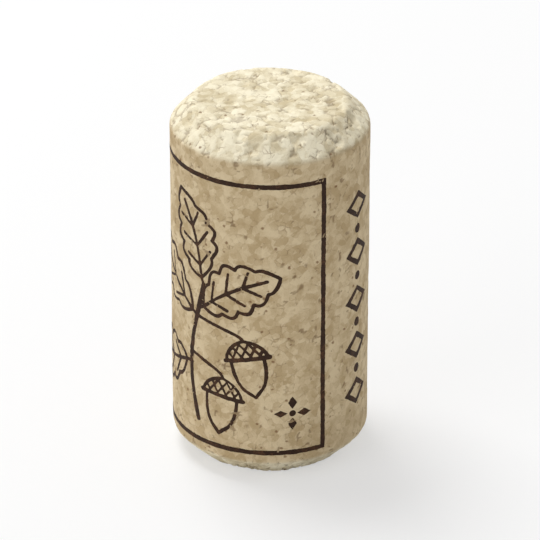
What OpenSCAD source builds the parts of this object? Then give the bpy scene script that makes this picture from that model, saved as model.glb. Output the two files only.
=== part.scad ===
// Agglomerated wine cork: one ground cylinder of bonded cork granules with chamfered ends,
// and the dark print that has soaked a little way into its side.
// The cork stands on one flat end. The origin is the middle of that end and +Z runs along the axis.
// The print is drawn flat, in millimetres: x runs round the side, from the middle of the printed
// frame, and y runs up the axis. Each motif is then bent round the side about its own middle.

/* [Cork] */
// Length between the two flat ends
cork_length = 44; // [38:0.5:50]
// Diameter of the ground side
cork_d = 23; // [21:0.5:26]
// Width of the 45 degree chamfer on each end
chamfer = 2.6; // [1.6:0.1:3.3]
// Radius of the soft edges on both sides of a chamfer
edge_r = 1; // [0.3:0.1:1.2]
// How deep the ink has soaked into the side
ink_depth = 0.1; // [0.05:0.05:0.3]
// Distance between the hollows that torn granules leave in the cut ends
hollow_gap = 3.5; // [3:0.1:5]
// Width of the widest hollow's main bowl
hollow_d = 1.9; // [1.2:0.1:2.2]
// Depth of the deepest hollow
hollow_depth = 0.34; // [0.1:0.02:0.4]

/* [Printed frame] */
// Direction that the middle of the frame faces, in degrees round the axis
frame_facing = 164.5; // [0:0.5:360]
// Bare strip between the frame's two upright lines, in degrees round the axis
strip_angle = 82; // [70:1:90]
// Height of the lower ring line above the base
frame_low = 4; // [4:0.1:5]
// Distance of the upper ring line from the top
frame_high = 5.4; // [4:0.1:6]
// Width of the frame's lines
frame_line = 0.6; // [0.3:0.05:0.7]

/* [Oak sprig] */
// Width of the lines that the motifs are drawn with
art_line = 0.42; // [0.3:0.02:0.5]
// Distance of the twig from the frame's right upright line
sprig_inset = 15.9; // [15.4:0.1:17]
// Length of the twig
twig_length = 18; // [16:0.5:19]
// How far the twig starts below the middle of the frame's height
twig_drop = 14.6; // [13:0.2:15]
// How far the twig sways to each side
twig_sway = 1.3; // [0:0.1:1.6]
// Length of the long leaf
long_leaf_length = 13; // [11:0.5:13.5]
// Length of the three short leaves
short_leaf_length = 10.8; // [9:0.2:11]
// How far a leaf's midrib bends sideways
leaf_bend = 0.8; // [0.2:0.1:1]
// Width of a leaf between its teeth
leaf_width = 5.8; // [5:0.2:6.4]
// How far the teeth stand out of a leaf's edge
tooth = 0.7; // [0.3:0.1:0.8]
// Length of a leaf's stalk
stalk_length = 0.9; // [0.6:0.1:1.2]
// How far the high acorn hangs out from the twig
high_acorn_reach = 6.7; // [6.2:0.1:7]
// How far the low acorn hangs out from the twig
low_acorn_reach = 4.8; // [4.4:0.1:5]
// Length of an acorn's nut below its cup
nut_length = 4.6; // [4:0.2:4.8]
// Width of an acorn's nut
nut_d = 4; // [3.6:0.2:4.4]
// Height of an acorn's cup
cup_height = 2.4; // [2:0.1:2.8]
// How far the cup's rim stands out past the nut
cup_rim = 0.5; // [0.3:0.1:0.7]

/* [Barrel] */
// Distance of the barrel's middle from the frame's left upright line
barrel_inset = 12.9; // [10:0.1:13]
// Height of the barrel
barrel_height = 17; // [14:0.5:19]
// Width of the barrel at its heads
barrel_head = 10.4; // [8:0.2:11]
// Width of the barrel at its belly
barrel_belly = 13.6; // [12:0.2:14.4]
// How far the barrel's hoops dip, seen a little from above
barrel_dip = 1.4; // [0.8:0.1:1.8]
// Distance between the two lines of a hoop
hoop_width = 1.4; // [1:0.1:1.8]
// Diameter of the bung hole in the barrel's face
bung_d = 2; // [1.4:0.1:2.4]
// Half the length of the line that the barrel stands on
ground_half = 8.4; // [7.6:0.2:8.6]
// Number of gaps between staves across the barrel's face
stave_gaps = 5; // [3:1:7]

/* [Ornament row] */
// Distance of the row from the frame's upright line, into the bare strip
row_inset = 5.5; // [4.5:0.5:7]
// Length of the row along the axis
row_length = 28; // [24:1:30]
// Number of lozenges in the row
lozenge_count = 5; // [3:1:5]
// Width of a lozenge, round the cork
lozenge_width = 4.8; // [3.6:0.2:5]
// Height of a lozenge, along the axis
lozenge_height = 3.6; // [3:0.2:3.8]
// Width of the lozenges' lines
lozenge_line = 0.6; // [0.4:0.05:0.7]
// Diameter of the dots between the lozenges
dot_d = 1.1; // [0.7:0.1:1.2]

/* [Corner mark] */
// Distance of the mark from the frame's upright line
mark_inset = 4.1; // [3:0.1:5]
// Height of the mark above the lower ring line
mark_rise = 5.2; // [3:0.1:6]
// Diameter of the mark's middle dot
mark_dot_d = 0.8; // [0.5:0.1:0.9]
// Distance from the mark's middle to its petals
petal_start = 0.6; // [0.55:0.05:0.8]
// Length of a petal
petal_length = 1.6; // [1:0.1:1.8]
// Width of a petal
petal_width = 1; // [0.6:0.1:1.1]

/* [Hidden] */
$fn = 160;

cork_color = "wheat";
ink_color = "saddlebrown";

cork_r = cork_d / 2;
soft = edge_r * tan(22.5); // how far a soft edge starts from the corner that it rounds
ink_r = cork_r - ink_depth;
frame_angle = 360 - strip_angle;
frame_bottom = frame_low - frame_line / 2;
frame_top = cork_length - frame_high + frame_line / 2;
frame_edge = frame_angle / 2 * PI / 180 * cork_r; // from the frame's middle to its edge, along the side
art_y = (frame_bottom + frame_top) / 2;
cut = 1; // how far a cutting shape runs past what it cuts

// ---- drawing with lines and areas ----

// Degrees round the axis for a length along the side.
function around(length) = length / cork_r * 180 / PI;

function last(list) = len(list) - 1;
function reversed(list) = [for (i = [last(list):-1:0]) list[i]];
function steps(from, to, count) = [for (i = [0:count]) from + (to - from) * i / count];

// The direction of a path at one of its points, from its two neighbours.
function heading(path, i) =
    let (run = path[min(i + 1, last(path))] - path[max(i - 1, 0)]) run / norm(run);

// A path moved to its left by a gap.
function beside(path, gap) = [for (i = [0:last(path)])
    let (way = heading(path, i)) path[i] + gap * [-way[1], way[0]]];

// A closed outline moved inwards by a gap, where the outline runs clockwise from its first point.
function shrunk(outline, gap) =
    let (ring = concat([outline[last(outline)]], outline, [outline[0]]), moved = beside(ring, -gap))
    [for (i = [1:len(outline)]) moved[i]];

// Points turned clockwise by an angle, and then moved to a place.
function placed(points, place, angle) = [for (p = points)
    place + [p[0] * cos(angle) + p[1] * sin(angle), p[1] * cos(angle) - p[0] * sin(angle)]];

// Points bent round the side, as they show from straight in front of x = about.
function bent(points, about) = [for (p = points) [cork_r * sin(around(p[0] - about)), p[1]]];

module area(points, about) {
    polygon(bent(points, about));
}

// A line of one width along an open path.
module line(path, about, width = art_line) {
    area(concat(beside(path, width / 2), reversed(beside(path, -width / 2))), about);
}

// A line just inside a closed outline.
module rim(outline, about, width = art_line) {
    difference() {
        area(outline, about);
        area(shrunk(outline, width), about);
    }
}

// A flat drawing bent about x = about and pushed out through the ink's skin, whose outside has the
// given radius.
module print(about, outside) {
    intersection() {
        difference() {
            cylinder(r = outside, h = cork_length);
            translate([0, 0, -cut]) cylinder(r = ink_r, h = cork_length + 2 * cut);
        }
        rotate([0, 0, frame_facing + around(about)]) rotate([90, 0, 90])
            linear_extrude(cork_r + 2 * cut) children();
    }
}

// ---- the frame ----

// A sector of a tube between two heights, centred on the frame's middle.
module sector(angle, low, high, inside, outside) {
    rotate([0, 0, frame_facing - angle / 2]) rotate_extrude(angle = angle)
        translate([inside, low]) square([outside - inside, high - low]);
}

module frame_print(outside) {
    difference() {
        sector(frame_angle, frame_bottom, frame_top, ink_r, outside);
        sector(frame_angle - 2 * around(frame_line), frame_bottom + frame_line, frame_top - frame_line,
            ink_r - cut, outside + cut);
    }
}

// ---- the oak sprig ----

leaf_teeth = 5;
steps_per_tooth = 5;
vein_pairs = 3;
midrib_end = 0.86; // where a leaf's midrib stops, as a share of the leaf's length
first_vein = 0.14; // where the lowest and the highest veins leave the midrib, as shares of it
last_vein = 0.58;
vein_rise = 0.14; // how much further up its leaf a vein ends
vein_reach = 0.66; // how near a vein comes to the leaf's edge, as a share of the half width
twig_line = art_line * 1.5; // widths of the heavier and finer lines
cup_line = art_line * 1.3;
fine_line = art_line * 0.85;
hatch_line = art_line * 0.7;
hatch_pitch = 1.1;
nut_point = 0.4;
sprig_x = frame_edge - sprig_inset;

// Half a leaf's width at a share t of its length, with its teeth.
function leaf_half(t) =
    let (swell = pow(max(sin(180 * pow(t, 0.9)), 0), 0.75))
    swell * (leaf_width / 2 + tooth * (abs(sin(180 * leaf_teeth * t)) - 0.5));

// Where the middle of a leaf is, sideways, at a share t of its length: it bends to the side of the sign.
function leaf_middle(t, bend) = bend * leaf_bend * sin(180 * t);

// A leaf's edge from its base to its tip, on the side of the given sign.
function leaf_edge(length, bend, hand) = [for (t = steps(0, 1, leaf_teeth * steps_per_tooth))
    [leaf_middle(t, bend) + hand * leaf_half(t), length * t]];

function leaf_midrib(length, bend) = concat(
    [[0, -stalk_length]], [for (t = steps(0, midrib_end, 6)) [leaf_middle(t, bend), length * t]]
);

// A vein that leaves the midrib at a share t of its length, to the side of the given sign.
function leaf_vein(length, bend, t, hand) = [for (s = [0, 1])
    [leaf_middle(t + vein_rise * s, bend) + hand * vein_reach * s * leaf_half(t + vein_rise),
    length * (t + vein_rise * s)]];

// A leaf whose stalk starts at a place, turned clockwise from upright.
module leaf(place, angle, length, bend, outside) {
    base = place + stalk_length * [sin(angle), cos(angle)];
    about = place[0] + sin(angle) * length / 2;
    print(about, outside) {
        for (hand = [-1, 1]) line(placed(leaf_edge(length, bend, hand), base, angle), about);
        line(placed(leaf_midrib(length, bend), base, angle), about);
        for (t = steps(first_vein, last_vein, vein_pairs - 1), hand = [-1, 1])
            line(placed(leaf_vein(length, bend, t, hand), base, angle), about, fine_line);
    }
}

// Half an acorn's width at a share t of its cup's height, and of its nut's length.
function cup_half(t) = (nut_d / 2 + cup_rim) * pow(sin(90 * t), 0.6);
function nut_half(t) = nut_d / 2 * pow(1 - pow(t, 2.6), 0.55);

// Over the cup from the left end of its rim to the right end.
function cup_top() = concat(
    [for (t = steps(1, 1 / 6, 5)) [-cup_half(t), -cup_height * t]],
    [for (t = steps(0, 1, 6)) [cup_half(t), -cup_height * t]]
);

// Down the nut from under the cup, round its point and up again.
function nut_edge() = concat(
    [for (t = steps(0, 0.92, 7)) [nut_half(t), -cup_height - nut_length * t]],
    [[0, -cup_height - nut_length - nut_point]],
    [for (t = steps(0.92, 0, 7)) [-nut_half(t), -cup_height - nut_length * t]]
);

// An acorn that hangs from a place, turned clockwise, with a stalk that bends up to where it grows.
module acorn(place, angle, grows, outside) {
    about = place[0];
    rim_half = cup_half(1) + art_line / 2;
    reach = grows - place;
    lean = cup_height * 0.6;
    print(about, outside) {
        line(placed(cup_top(), place, angle), about);
        line(placed([[-rim_half, -cup_height], [rim_half, -cup_height]], place, angle), about, cup_line);
        line(placed(nut_edge(), place, angle), about);
        line([for (t = steps(-0.1, 1, 5)) place + [reach[0] * t * t, reach[1] * t]], about);
        intersection() {
            area(placed(cup_top(), place, angle), about);
            union() for (i = [-2:2], side = [-lean, lean])
                line(placed([[hatch_pitch * i + side, cut], [hatch_pitch * i - side, -cup_height - cut]],
                    place, angle), about, hatch_line);
        }
    }
}

// Where the twig is at a share t of its length: it sways left near its foot and right near its tip.
function twig(t) = [sprig_x + twig_sway * sin(216 * t - 175), art_y - twig_drop + twig_length * t];

module sprig_print(outside) {
    print(sprig_x, outside) line([for (t = steps(0, 1, 8)) twig(t)], sprig_x, twig_line);
    leaf(twig(1), -20, short_leaf_length, 1, outside);
    leaf(twig(0.82), 62, short_leaf_length, -1, outside);
    leaf(twig(0.76), -64, long_leaf_length, 1, outside);
    leaf(twig(0.4), -98, short_leaf_length, -1, outside);
    acorn(twig(0.66) + [high_acorn_reach, 0], -12, twig(0.76), outside);
    acorn(twig(0.36) + [low_acorn_reach, 0], 5, twig(0.48), outside);
}

// ---- the barrel ----

hoops = [0.1, 0.3, 0.7, 0.9]; // the hoops' middles, as shares of the barrel's height
barrel_x = barrel_inset - frame_edge;
ground_y = art_y - barrel_height / 2 - barrel_dip - art_line / 2; // height of the line that it stands on

// Half the barrel's width at a share t of its height.
function barrel_half(t) = barrel_head / 2 + (barrel_belly - barrel_head) / 2 * sin(180 * t);

// A point of the barrel's face, at a share t of its height and an angle from its middle.
function barrel_at(t, angle) =
    [barrel_x + barrel_half(t) * sin(angle), art_y + barrel_height * (t - 0.5) - barrel_dip * cos(angle)];

module barrel_print(outside) {
    half_hoop = hoop_width / 2 / barrel_height;
    gap_ends = concat([0], [for (t = hoops, hand = [-1, 1]) t + hand * half_hoop], [1]);
    print(barrel_x, outside) {
        for (angle = [-90, 90]) line([for (t = steps(0, 1, 10)) barrel_at(t, angle)], barrel_x);
        for (t = concat([0], [for (t = hoops, hand = [-1, 1]) t + hand * half_hoop]))
            line([for (angle = steps(-90, 90, 10)) barrel_at(t, angle)], barrel_x);
        rim([for (angle = steps(0, 345, 23)) barrel_at(1, -angle)], barrel_x);
        rim([for (p = round_dot([0, 0], bung_d)) barrel_at(0.5, 0) + p], barrel_x);
        line([for (x = steps(-ground_half, ground_half, 12)) [barrel_x + x, ground_y]], barrel_x);
        for (k = [1:stave_gaps - 1], i = [0:2:last(gap_ends)])
            line([for (t = steps(gap_ends[i], gap_ends[i + 1], 2)) barrel_at(t, 180 * k / stave_gaps - 90)],
                barrel_x, fine_line);
    }
}

// ---- the ornament row ----

function lozenge(place, width, height) =
    [place - [width / 2, 0], place + [0, height / 2], place + [width / 2, 0], place - [0, height / 2]];

module row_print(outside) {
    middle = frame_edge + row_inset;
    pitch = (row_length - lozenge_height) / (lozenge_count - 1);
    inner = lozenge_line * norm([lozenge_width, lozenge_height]);
    print(middle, outside) {
        for (i = [0:lozenge_count - 1]) {
            place = [middle, art_y + pitch * (i - (lozenge_count - 1) / 2)];
            difference() {
                area(lozenge(place, lozenge_width, lozenge_height), middle);
                area(lozenge(place, lozenge_width - 2 * inner / lozenge_height,
                    lozenge_height - 2 * inner / lozenge_width), middle);
            }
        }
        for (i = [0:lozenge_count - 2])
            area(round_dot([middle, art_y + pitch * (i + 1 - lozenge_count / 2)], dot_d), middle);
    }
}

// ---- the corner mark ----

function round_dot(place, d) = [for (a = [0:30:330]) place + d / 2 * [cos(a), -sin(a)]];

module mark_print(outside) {
    place = [frame_edge - mark_inset, frame_low + mark_rise];
    petal = lozenge([0, petal_start + petal_length / 2], petal_width, petal_length);
    print(place[0], outside) {
        area(round_dot(place, mark_dot_d), place[0]);
        for (angle = [0:90:270])
            area(placed(petal, place, angle), place[0]);
    }
}

// ---- the hollows in the ends ----

golden_angle = 137.508;
bare_rim = 0.7; // how far the hollows' middles stay inside the cork's side
smallest_hollow = 0.55; // the smallest hollow's width, as a share of the widest one's
side_bowl = 0.7; // size of the bowl that runs into a hollow, as a share of the main bowl
side_step = 0.45; // how far that bowl is from the main one, as a share of the hollow's width

end_r = cork_r - chamfer;

// A number from 0 to 1 that differs from hollow to hollow with no visible order.
function stray(i, kind) = let (wave = 43.7 * sin(127.1 * i + 311.7 * kind)) wave - floor(wave);

// How far from the axis the i-th hollow is. Each takes an equal share of the surface of the flat end
// and then of the chamfer, whose slope makes its surface larger.
function hollow_reach(i) = let (level = (i + 1) * hollow_gap * hollow_gap / PI - end_r * end_r)
    sqrt(end_r * end_r + (level > 0 ? level / sqrt(2) : level));

// A shallow bowl cut into a flat surface, as deep for its width as the deepest hollow.
module bowl(width) {
    depth = hollow_depth * width / hollow_d;
    r = (width * width / 4 + depth * depth) / (2 * depth);
    translate([0, 0, r - depth]) sphere(r = r, $fn = 48);
}

// A torn granule's hollow: one bowl, and in every other hollow a smaller one that runs into it.
module hollow(width, angle, double) {
    bowl(width);
    if (double)
        rotate([0, 0, angle]) translate([side_step * width, 0, 0]) bowl(side_bowl * width);
}

// The hollows in an end whose flat face is at z = 0 and faces up, in a spiral of golden angles.
module end_hollows() {
    for (i = [0:floor(PI * cork_r * cork_r / hollow_gap / hollow_gap * sqrt(2))]) {
        reach = hollow_reach(i);
        slope = max(0, reach - end_r);
        if (reach < cork_r - bare_rim)
            rotate([0, 0, golden_angle * i + 30 * stray(i, 1)]) translate([reach, 0, -slope])
                rotate([0, slope > 0 ? 45 : 0, 0])
                    hollow(hollow_d * (smallest_hollow + (1 - smallest_hollow) * stray(i, 2)),
                        360 * stray(i, 3), stray(i, 4) > 0.5);
    }
}

// ---- the cork ----

// Half the cork's section: straight lines between the soft edges, and a disc in each soft edge.
module cork_section() {
    slant = soft * sin(45);
    lower = [[0, 0], [end_r - soft, 0], [end_r + slant, slant], [cork_r - slant, chamfer - slant],
        [cork_r, chamfer + soft]];
    polygon(concat(lower, [for (p = reversed(lower)) [p[0], cork_length - p[1]]]));
    for (middle = [[end_r - soft, edge_r], [cork_r - edge_r, chamfer + soft]],
            y = [middle[1], cork_length - middle[1]])
        translate([middle[0], y]) circle(r = edge_r);
}

module cork_body() {
    color(cork_color) difference() {
        rotate_extrude() cork_section();
        frame_print(cork_r + cut);
        sprig_print(cork_r + cut);
        barrel_print(cork_r + cut);
        row_print(cork_r + cut);
        mark_print(cork_r + cut);
        translate([0, 0, cork_length]) end_hollows();
        mirror([0, 0, 1]) end_hollows();
    }
}

module printed_frame() {
    color(ink_color) frame_print(cork_r);
}

module printed_oak_sprig() {
    color(ink_color) sprig_print(cork_r);
}

module printed_barrel() {
    color(ink_color) barrel_print(cork_r);
}

module printed_ornament_row() {
    color(ink_color) row_print(cork_r);
}

module printed_corner_mark() {
    color(ink_color) mark_print(cork_r);
}

cork_body();
printed_frame();
printed_oak_sprig();
printed_barrel();
printed_ornament_row();
printed_corner_mark();
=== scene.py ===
"""A printed wine cork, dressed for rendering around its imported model.

The cork is one ground cylinder of bonded cork granules with chamfered ends. Its print is thin ink
on its side. Lengths are in metres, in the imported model's own frame: the cork stands on the origin
and +Z runs along its axis. The print is drawn on the side unrolled flat, where x runs round the
side from the middle of the printed frame, to the right as seen from outside, and y is the height.
"""

import logging
import math
from abc import ABC, abstractmethod
from dataclasses import dataclass, field
from enum import Enum, IntEnum
from itertools import product
from typing import ClassVar

import bpy
import numpy as np
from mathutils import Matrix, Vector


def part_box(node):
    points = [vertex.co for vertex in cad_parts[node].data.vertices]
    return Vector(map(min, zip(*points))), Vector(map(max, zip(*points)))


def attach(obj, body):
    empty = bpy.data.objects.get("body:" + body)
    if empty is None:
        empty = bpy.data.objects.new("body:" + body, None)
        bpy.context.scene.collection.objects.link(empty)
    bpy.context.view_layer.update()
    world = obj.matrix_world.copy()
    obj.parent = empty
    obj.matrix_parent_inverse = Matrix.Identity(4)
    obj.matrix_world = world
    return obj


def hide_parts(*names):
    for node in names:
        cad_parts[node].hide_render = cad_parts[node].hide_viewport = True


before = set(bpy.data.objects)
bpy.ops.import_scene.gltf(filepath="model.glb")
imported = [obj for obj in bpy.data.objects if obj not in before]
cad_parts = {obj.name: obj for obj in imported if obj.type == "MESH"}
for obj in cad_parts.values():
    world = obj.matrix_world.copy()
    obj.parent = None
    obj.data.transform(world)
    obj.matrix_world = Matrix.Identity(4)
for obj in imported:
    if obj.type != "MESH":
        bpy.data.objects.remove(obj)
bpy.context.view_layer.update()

LOG = logging.getLogger("wine_cork")
MM = 0.001

# What the type hints call things: whole arrays of numbers or of places, one number or many, the
# kinds of Blender data, what a shader's input may get, and where an eased step starts and ends.
Array = np.ndarray
Points = np.ndarray
Numbers = np.ndarray | float
Piece = bpy.types.Object
Material = bpy.types.Material
Socket = bpy.types.NodeSocket
Entry = Socket | float | tuple
Colour = tuple[float, float, float, float]
Levels = tuple[float, float]


class Slot(Enum):
    """The record's material slots."""

    CORK = "cork"
    INK = "ink"


class Node(Enum):
    """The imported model's nodes that the pieces stand for."""

    BODY = "cork_body"
    FRAME = "printed_frame"
    SPRIG = "printed_oak_sprig"
    BARREL = "printed_barrel"
    ROW = "printed_ornament_row"
    MARK = "printed_corner_mark"


class Salt(IntEnum):
    """The number that makes each noise's random numbers its own.

    A push takes three of them in a row, and a field of granules four. The ink's noises lie on the
    unrolled side, so they may share theirs with the torn edges of the hollows.
    """

    WARP = 11
    GRANULE = 21
    SEAM = 31
    PIT = 41
    WAVE = 51
    LUMP = 61
    GRIT = 65
    TORN = 71
    INK_FINE = 71
    INK_BROAD = 73


class Stray(IntEnum):
    """What each of a torn hollow's numbers without visible order is for."""

    BEARING = 1
    WIDTH = 2
    TURN = 3
    DOUBLE = 4


# ---- noise, as whole arrays ----

# What turns a cell's place into a random number: a large prime for each axis and for the salt, the
# shift and the factor of a round of mixing and how many rounds there are, the shift after them, the
# mask that keeps 32 bits, and how many levels come out.
AXIS_PRIMES = (73856093, 19349663, 83492791)
SALT_PRIME = 2654435761
ROUND_SHIFT = 15
ROUND_FACTOR = 0x2C1B3C6D
ROUNDS = 2
LAST_SHIFT = 13
KEPT_BITS = 0xFFFFFFFF
LEVELS = 0x1000000


def eased(low: Numbers, high: Numbers, value: Array) -> Array:
    """A smooth step: 0 below low, 1 above high, and 3tt - 2ttt at a share t of the way between."""
    t = np.clip((value - low) / (high - low), 0.0, 1.0)
    return t * t * (3.0 - 2.0 * t)


def between(start: float, end: float, share: Array) -> Array:
    """The number at a share of the way from start to end."""
    return start + (end - start) * share


def cell_random(cells: Array, salt: int) -> Array:
    """One random number for each cell of a whole-number lattice.

    The cell's three numbers are multiplied by large primes and joined, and the result is mixed by
    shifts and products, so that it is always the same for the same cell and salt.

    Args:
        cells: whole numbers, shape (..., 3).
        salt: a number that makes this draw differ from others.

    Returns:
        Numbers from 0 up to 1, shape (...).
    """
    x, y, z = np.moveaxis(cells, -1, 0)
    mixed = x * AXIS_PRIMES[0] ^ y * AXIS_PRIMES[1] ^ z * AXIS_PRIMES[2]
    mixed = (mixed ^ (salt * SALT_PRIME)) & KEPT_BITS
    for _ in range(ROUNDS):
        mixed = ((mixed ^ (mixed >> ROUND_SHIFT)) * ROUND_FACTOR) & KEPT_BITS
    return ((mixed ^ (mixed >> LAST_SHIFT)) & (LEVELS - 1)) / float(LEVELS)


def soft_noise(points: Points, size: float, salt: int) -> Array:
    """Smooth noise: random numbers at a lattice's corners, eased from corner to corner.

    Args:
        points: places, shape (n, 3).
        size: spacing of the lattice.
        salt: a number that makes this noise differ from others.

    Returns:
        Numbers from -1 to 1, shape (n,).
    """
    scaled = points / size
    base = np.floor(scaled).astype(np.int64)
    share = eased(0.0, 1.0, scaled - base)
    total = np.zeros(len(points))
    for corner in product((0, 1), repeat=3):
        weight = np.prod(np.where(corner, share, 1.0 - share), axis=1)
        total += weight * cell_random(base + corner, salt)
    return 2.0 * total - 1.0


def soft_push(points: Points, size: float, salt: int) -> Points:
    """Soft noise for each of the three axes, to push points about with, shape (n, 3)."""
    return np.stack([soft_noise(points, size, salt + axis) for axis in range(3)], axis=-1)


@dataclass
class Granules:
    """What surrounds each point in a field of scattered seeds.

    Attributes:
        near: distance to the nearest seed.
        gap: how much further the second nearest seed is, so 0 on a seam between two granules.
        tone: the nearest seed's own random number, from 0 to 1.
    """

    near: Array
    gap: Array
    tone: Array


def granules(points: Points, size: float, salt: int) -> Granules:
    """Cellular noise: one seed at a random place in each cell of a lattice, and the distance to it.

    The first three random numbers of a cell place its seed, and the fourth is its tone.

    Args:
        points: places, shape (n, 3).
        size: spacing of the lattice.
        salt: a number that makes this field differ from others.

    Returns:
        The distances and the tone at each point, from the 27 cells around it.
    """
    scaled = points / size
    base = np.floor(scaled).astype(np.int64)
    first = np.full(len(points), math.inf)
    second = first.copy()
    tone = np.zeros(len(points))
    for step in product((-1, 0, 1), repeat=3):
        cell = base + step
        seed = cell + np.stack([cell_random(cell, salt + axis) for axis in range(3)], axis=-1)
        away = np.linalg.norm(seed - scaled, axis=1)
        nearer = away < first
        second = np.where(nearer, first, np.minimum(second, away))
        tone = np.where(nearer, cell_random(cell, salt + 3), tone)
        first = np.minimum(first, away)
    return Granules(near=first * size, gap=(second - first) * size, tone=tone)


# ---- paths and meshes ----


def spaced(steps: int, start: float = 0.0, end: float = 1.0) -> Array:
    """Evenly spaced numbers from start to end, both of them included."""
    return np.linspace(start, end, steps + 1)


def flat_points(x: Numbers, y: Numbers) -> Points:
    """Points of the plane from their x and their y, either of which may be one number."""
    return np.stack(np.broadcast_arrays(x, y), axis=-1).astype(float)


def make_piece(name: str, points: Points, triangles: Array, material: Material) -> Piece:
    """A mesh object at the origin from arrays of points and triangles.

    Args:
        name: the piece's name.
        points: places, shape (n, 3).
        triangles: numbers of points, anticlockwise from outside, shape (m, 3).
        material: its only material.

    Returns:
        The object, linked to the scene, with smooth faces.
    """
    mesh = bpy.data.meshes.new(name)
    mesh.vertices.add(len(points))
    mesh.vertices.foreach_set("co", points.astype(np.float32).ravel())
    mesh.loops.add(triangles.size)
    mesh.loops.foreach_set("vertex_index", triangles.astype(np.int32).ravel())
    mesh.polygons.add(len(triangles))
    mesh.polygons.foreach_set("loop_start", np.arange(0, triangles.size, 3, dtype=np.int32))
    mesh.polygons.foreach_set("use_smooth", np.ones(len(triangles), dtype=bool))
    mesh.update(calc_edges=True)
    mesh.validate()
    mesh.materials.append(material)
    piece = bpy.data.objects.new(name, mesh)
    bpy.context.scene.collection.objects.link(piece)
    return piece


def add_attribute(piece: Piece, name: str, values: Array) -> None:
    """One number at each point of a piece, for its material to read."""
    attribute = piece.data.attributes.new(name, "FLOAT", "POINT")
    attribute.data.foreach_set("value", values.astype(np.float32))


def enlist(piece: Piece, node: Node) -> None:
    """Reports a piece to the frame and to the log.

    Args:
        piece: the piece, which rides on the part's one body.
        node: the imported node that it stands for.
    """
    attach(piece, "root")
    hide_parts(node.value)
    LOG.info("%s: %d triangles", piece.name, len(piece.data.polygons))


# ---- the cork ----


@dataclass
class Relief:
    """The cork's surface at its points.

    Attributes:
        height: how far the surface stands out from the true form, along its normal.
        hollow: how far down in a pit or an open seam a point is, from 0 to 1.
        tone: the random number of the granule there, from 0 to 1.
    """

    height: Array
    hollow: Array
    tone: Array


@dataclass
class CorkGrain:
    """How ground agglomerated cork is rough: granules at slightly different heights, seams between
    them that are open in places, round pits, and slow waves left by the grinding.

    Attributes:
        granule: spacing of the granules.
        plateau: how far a granule stands out or in.
        warp, warp_size: how far the granules' seams are pushed about, and over what distance.
        seam_width, seam_depth: size of an open seam.
        seam_stretch: how long a seam stays open or closed.
        seam_opens: the noise at which a seam starts to open, and at which it is open.
        seam_cut: what is added to that noise on the cut ends.
        pit_spacing, pit_share: spacing of the places for pits, and the share of them that hold one.
        pit_smallest, pit_largest: radius of the pits.
        pit_floor: radius of a pit's flat bottom, as a share of the pit's.
        pit_depth: depth of a pit as a share of its radius, on the ground side and on the cut ends.
        wave, wave_length: size of the slow waves.
        lump, lump_size: size of the lumps on the cut ends.
        grit, grit_size: size of the finest roughness.
        kept_pits, kept_height: shares of the pits and the heights that grinding leaves on the side.
    """

    granule: float = 1.35 * MM
    plateau: float = 0.035 * MM
    warp: float = 0.4 * MM
    warp_size: float = 1.3 * MM
    seam_width: float = 0.3 * MM
    seam_depth: float = 0.16 * MM
    seam_stretch: float = 0.9 * MM
    seam_opens: Levels = (0.36, 0.62)
    seam_cut: float = 0.36
    pit_spacing: float = 2.1 * MM
    pit_share: float = 0.34
    pit_smallest: float = 0.16 * MM
    pit_largest: float = 0.46 * MM
    pit_floor: float = 0.35
    pit_depth: Levels = (0.45, 0.7)
    wave: float = 0.035 * MM
    wave_length: float = 5.0 * MM
    lump: float = 0.028 * MM
    lump_size: float = 0.95 * MM
    grit: float = 0.028 * MM
    grit_size: float = 0.42 * MM
    kept_pits: float = 0.45
    kept_height: float = 0.35

    def relief(self, points: Points, cut: Array) -> Relief:
        """The surface's height at its points.

        The points are first pushed about by soft noise, so that the granules aren't round. A
        granule's plateau is its random number. A seam is deep where the gap between two seeds is
        small, and it is open only where a second noise is high. A pit is a bowl round some of a
        coarser field's seeds. Waves, lumps on the cut ends and grit are soft noise.

        Args:
            points: places on the true form, shape (n, 3).
            cut: 0 on the ground side, where all is shallower and closed, and 1 on the cut ends.

        Returns:
            The height, the hollows and the granules' tones.
        """
        bent = points + self.warp * soft_push(points, self.warp_size, Salt.WARP)
        grain = granules(bent, self.granule, Salt.GRANULE)
        opening = soft_noise(bent, self.seam_stretch, Salt.SEAM) + self.seam_cut * cut
        seam = (1.0 - eased(0.0, self.seam_width, grain.gap)) * eased(*self.seam_opens, opening)
        bowls = granules(bent, self.pit_spacing, Salt.PIT)
        there = bowls.tone < self.pit_share * between(self.kept_pits, 1.0, cut)
        size = (bowls.tone / self.pit_share) ** 2
        spread = between(self.pit_smallest, self.pit_largest, size)
        bowl = np.where(there, 1.0 - eased(self.pit_floor * spread, spread, bowls.near), 0.0)
        strength = between(self.kept_height, 1.0, cut)
        height = strength * self.plateau * (2.0 * grain.tone - 1.0)
        height -= np.maximum(
            seam * self.seam_depth * strength, bowl * spread * between(*self.pit_depth, cut)
        )
        height += self.wave * soft_noise(points, self.wave_length, Salt.WAVE)
        height += cut * self.lump * soft_noise(bent, self.lump_size, Salt.LUMP)
        height += strength * self.grit * soft_noise(points, self.grit_size, Salt.GRIT)
        return Relief(height=height, hollow=np.maximum(seam, bowl), tone=grain.tone)


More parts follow.
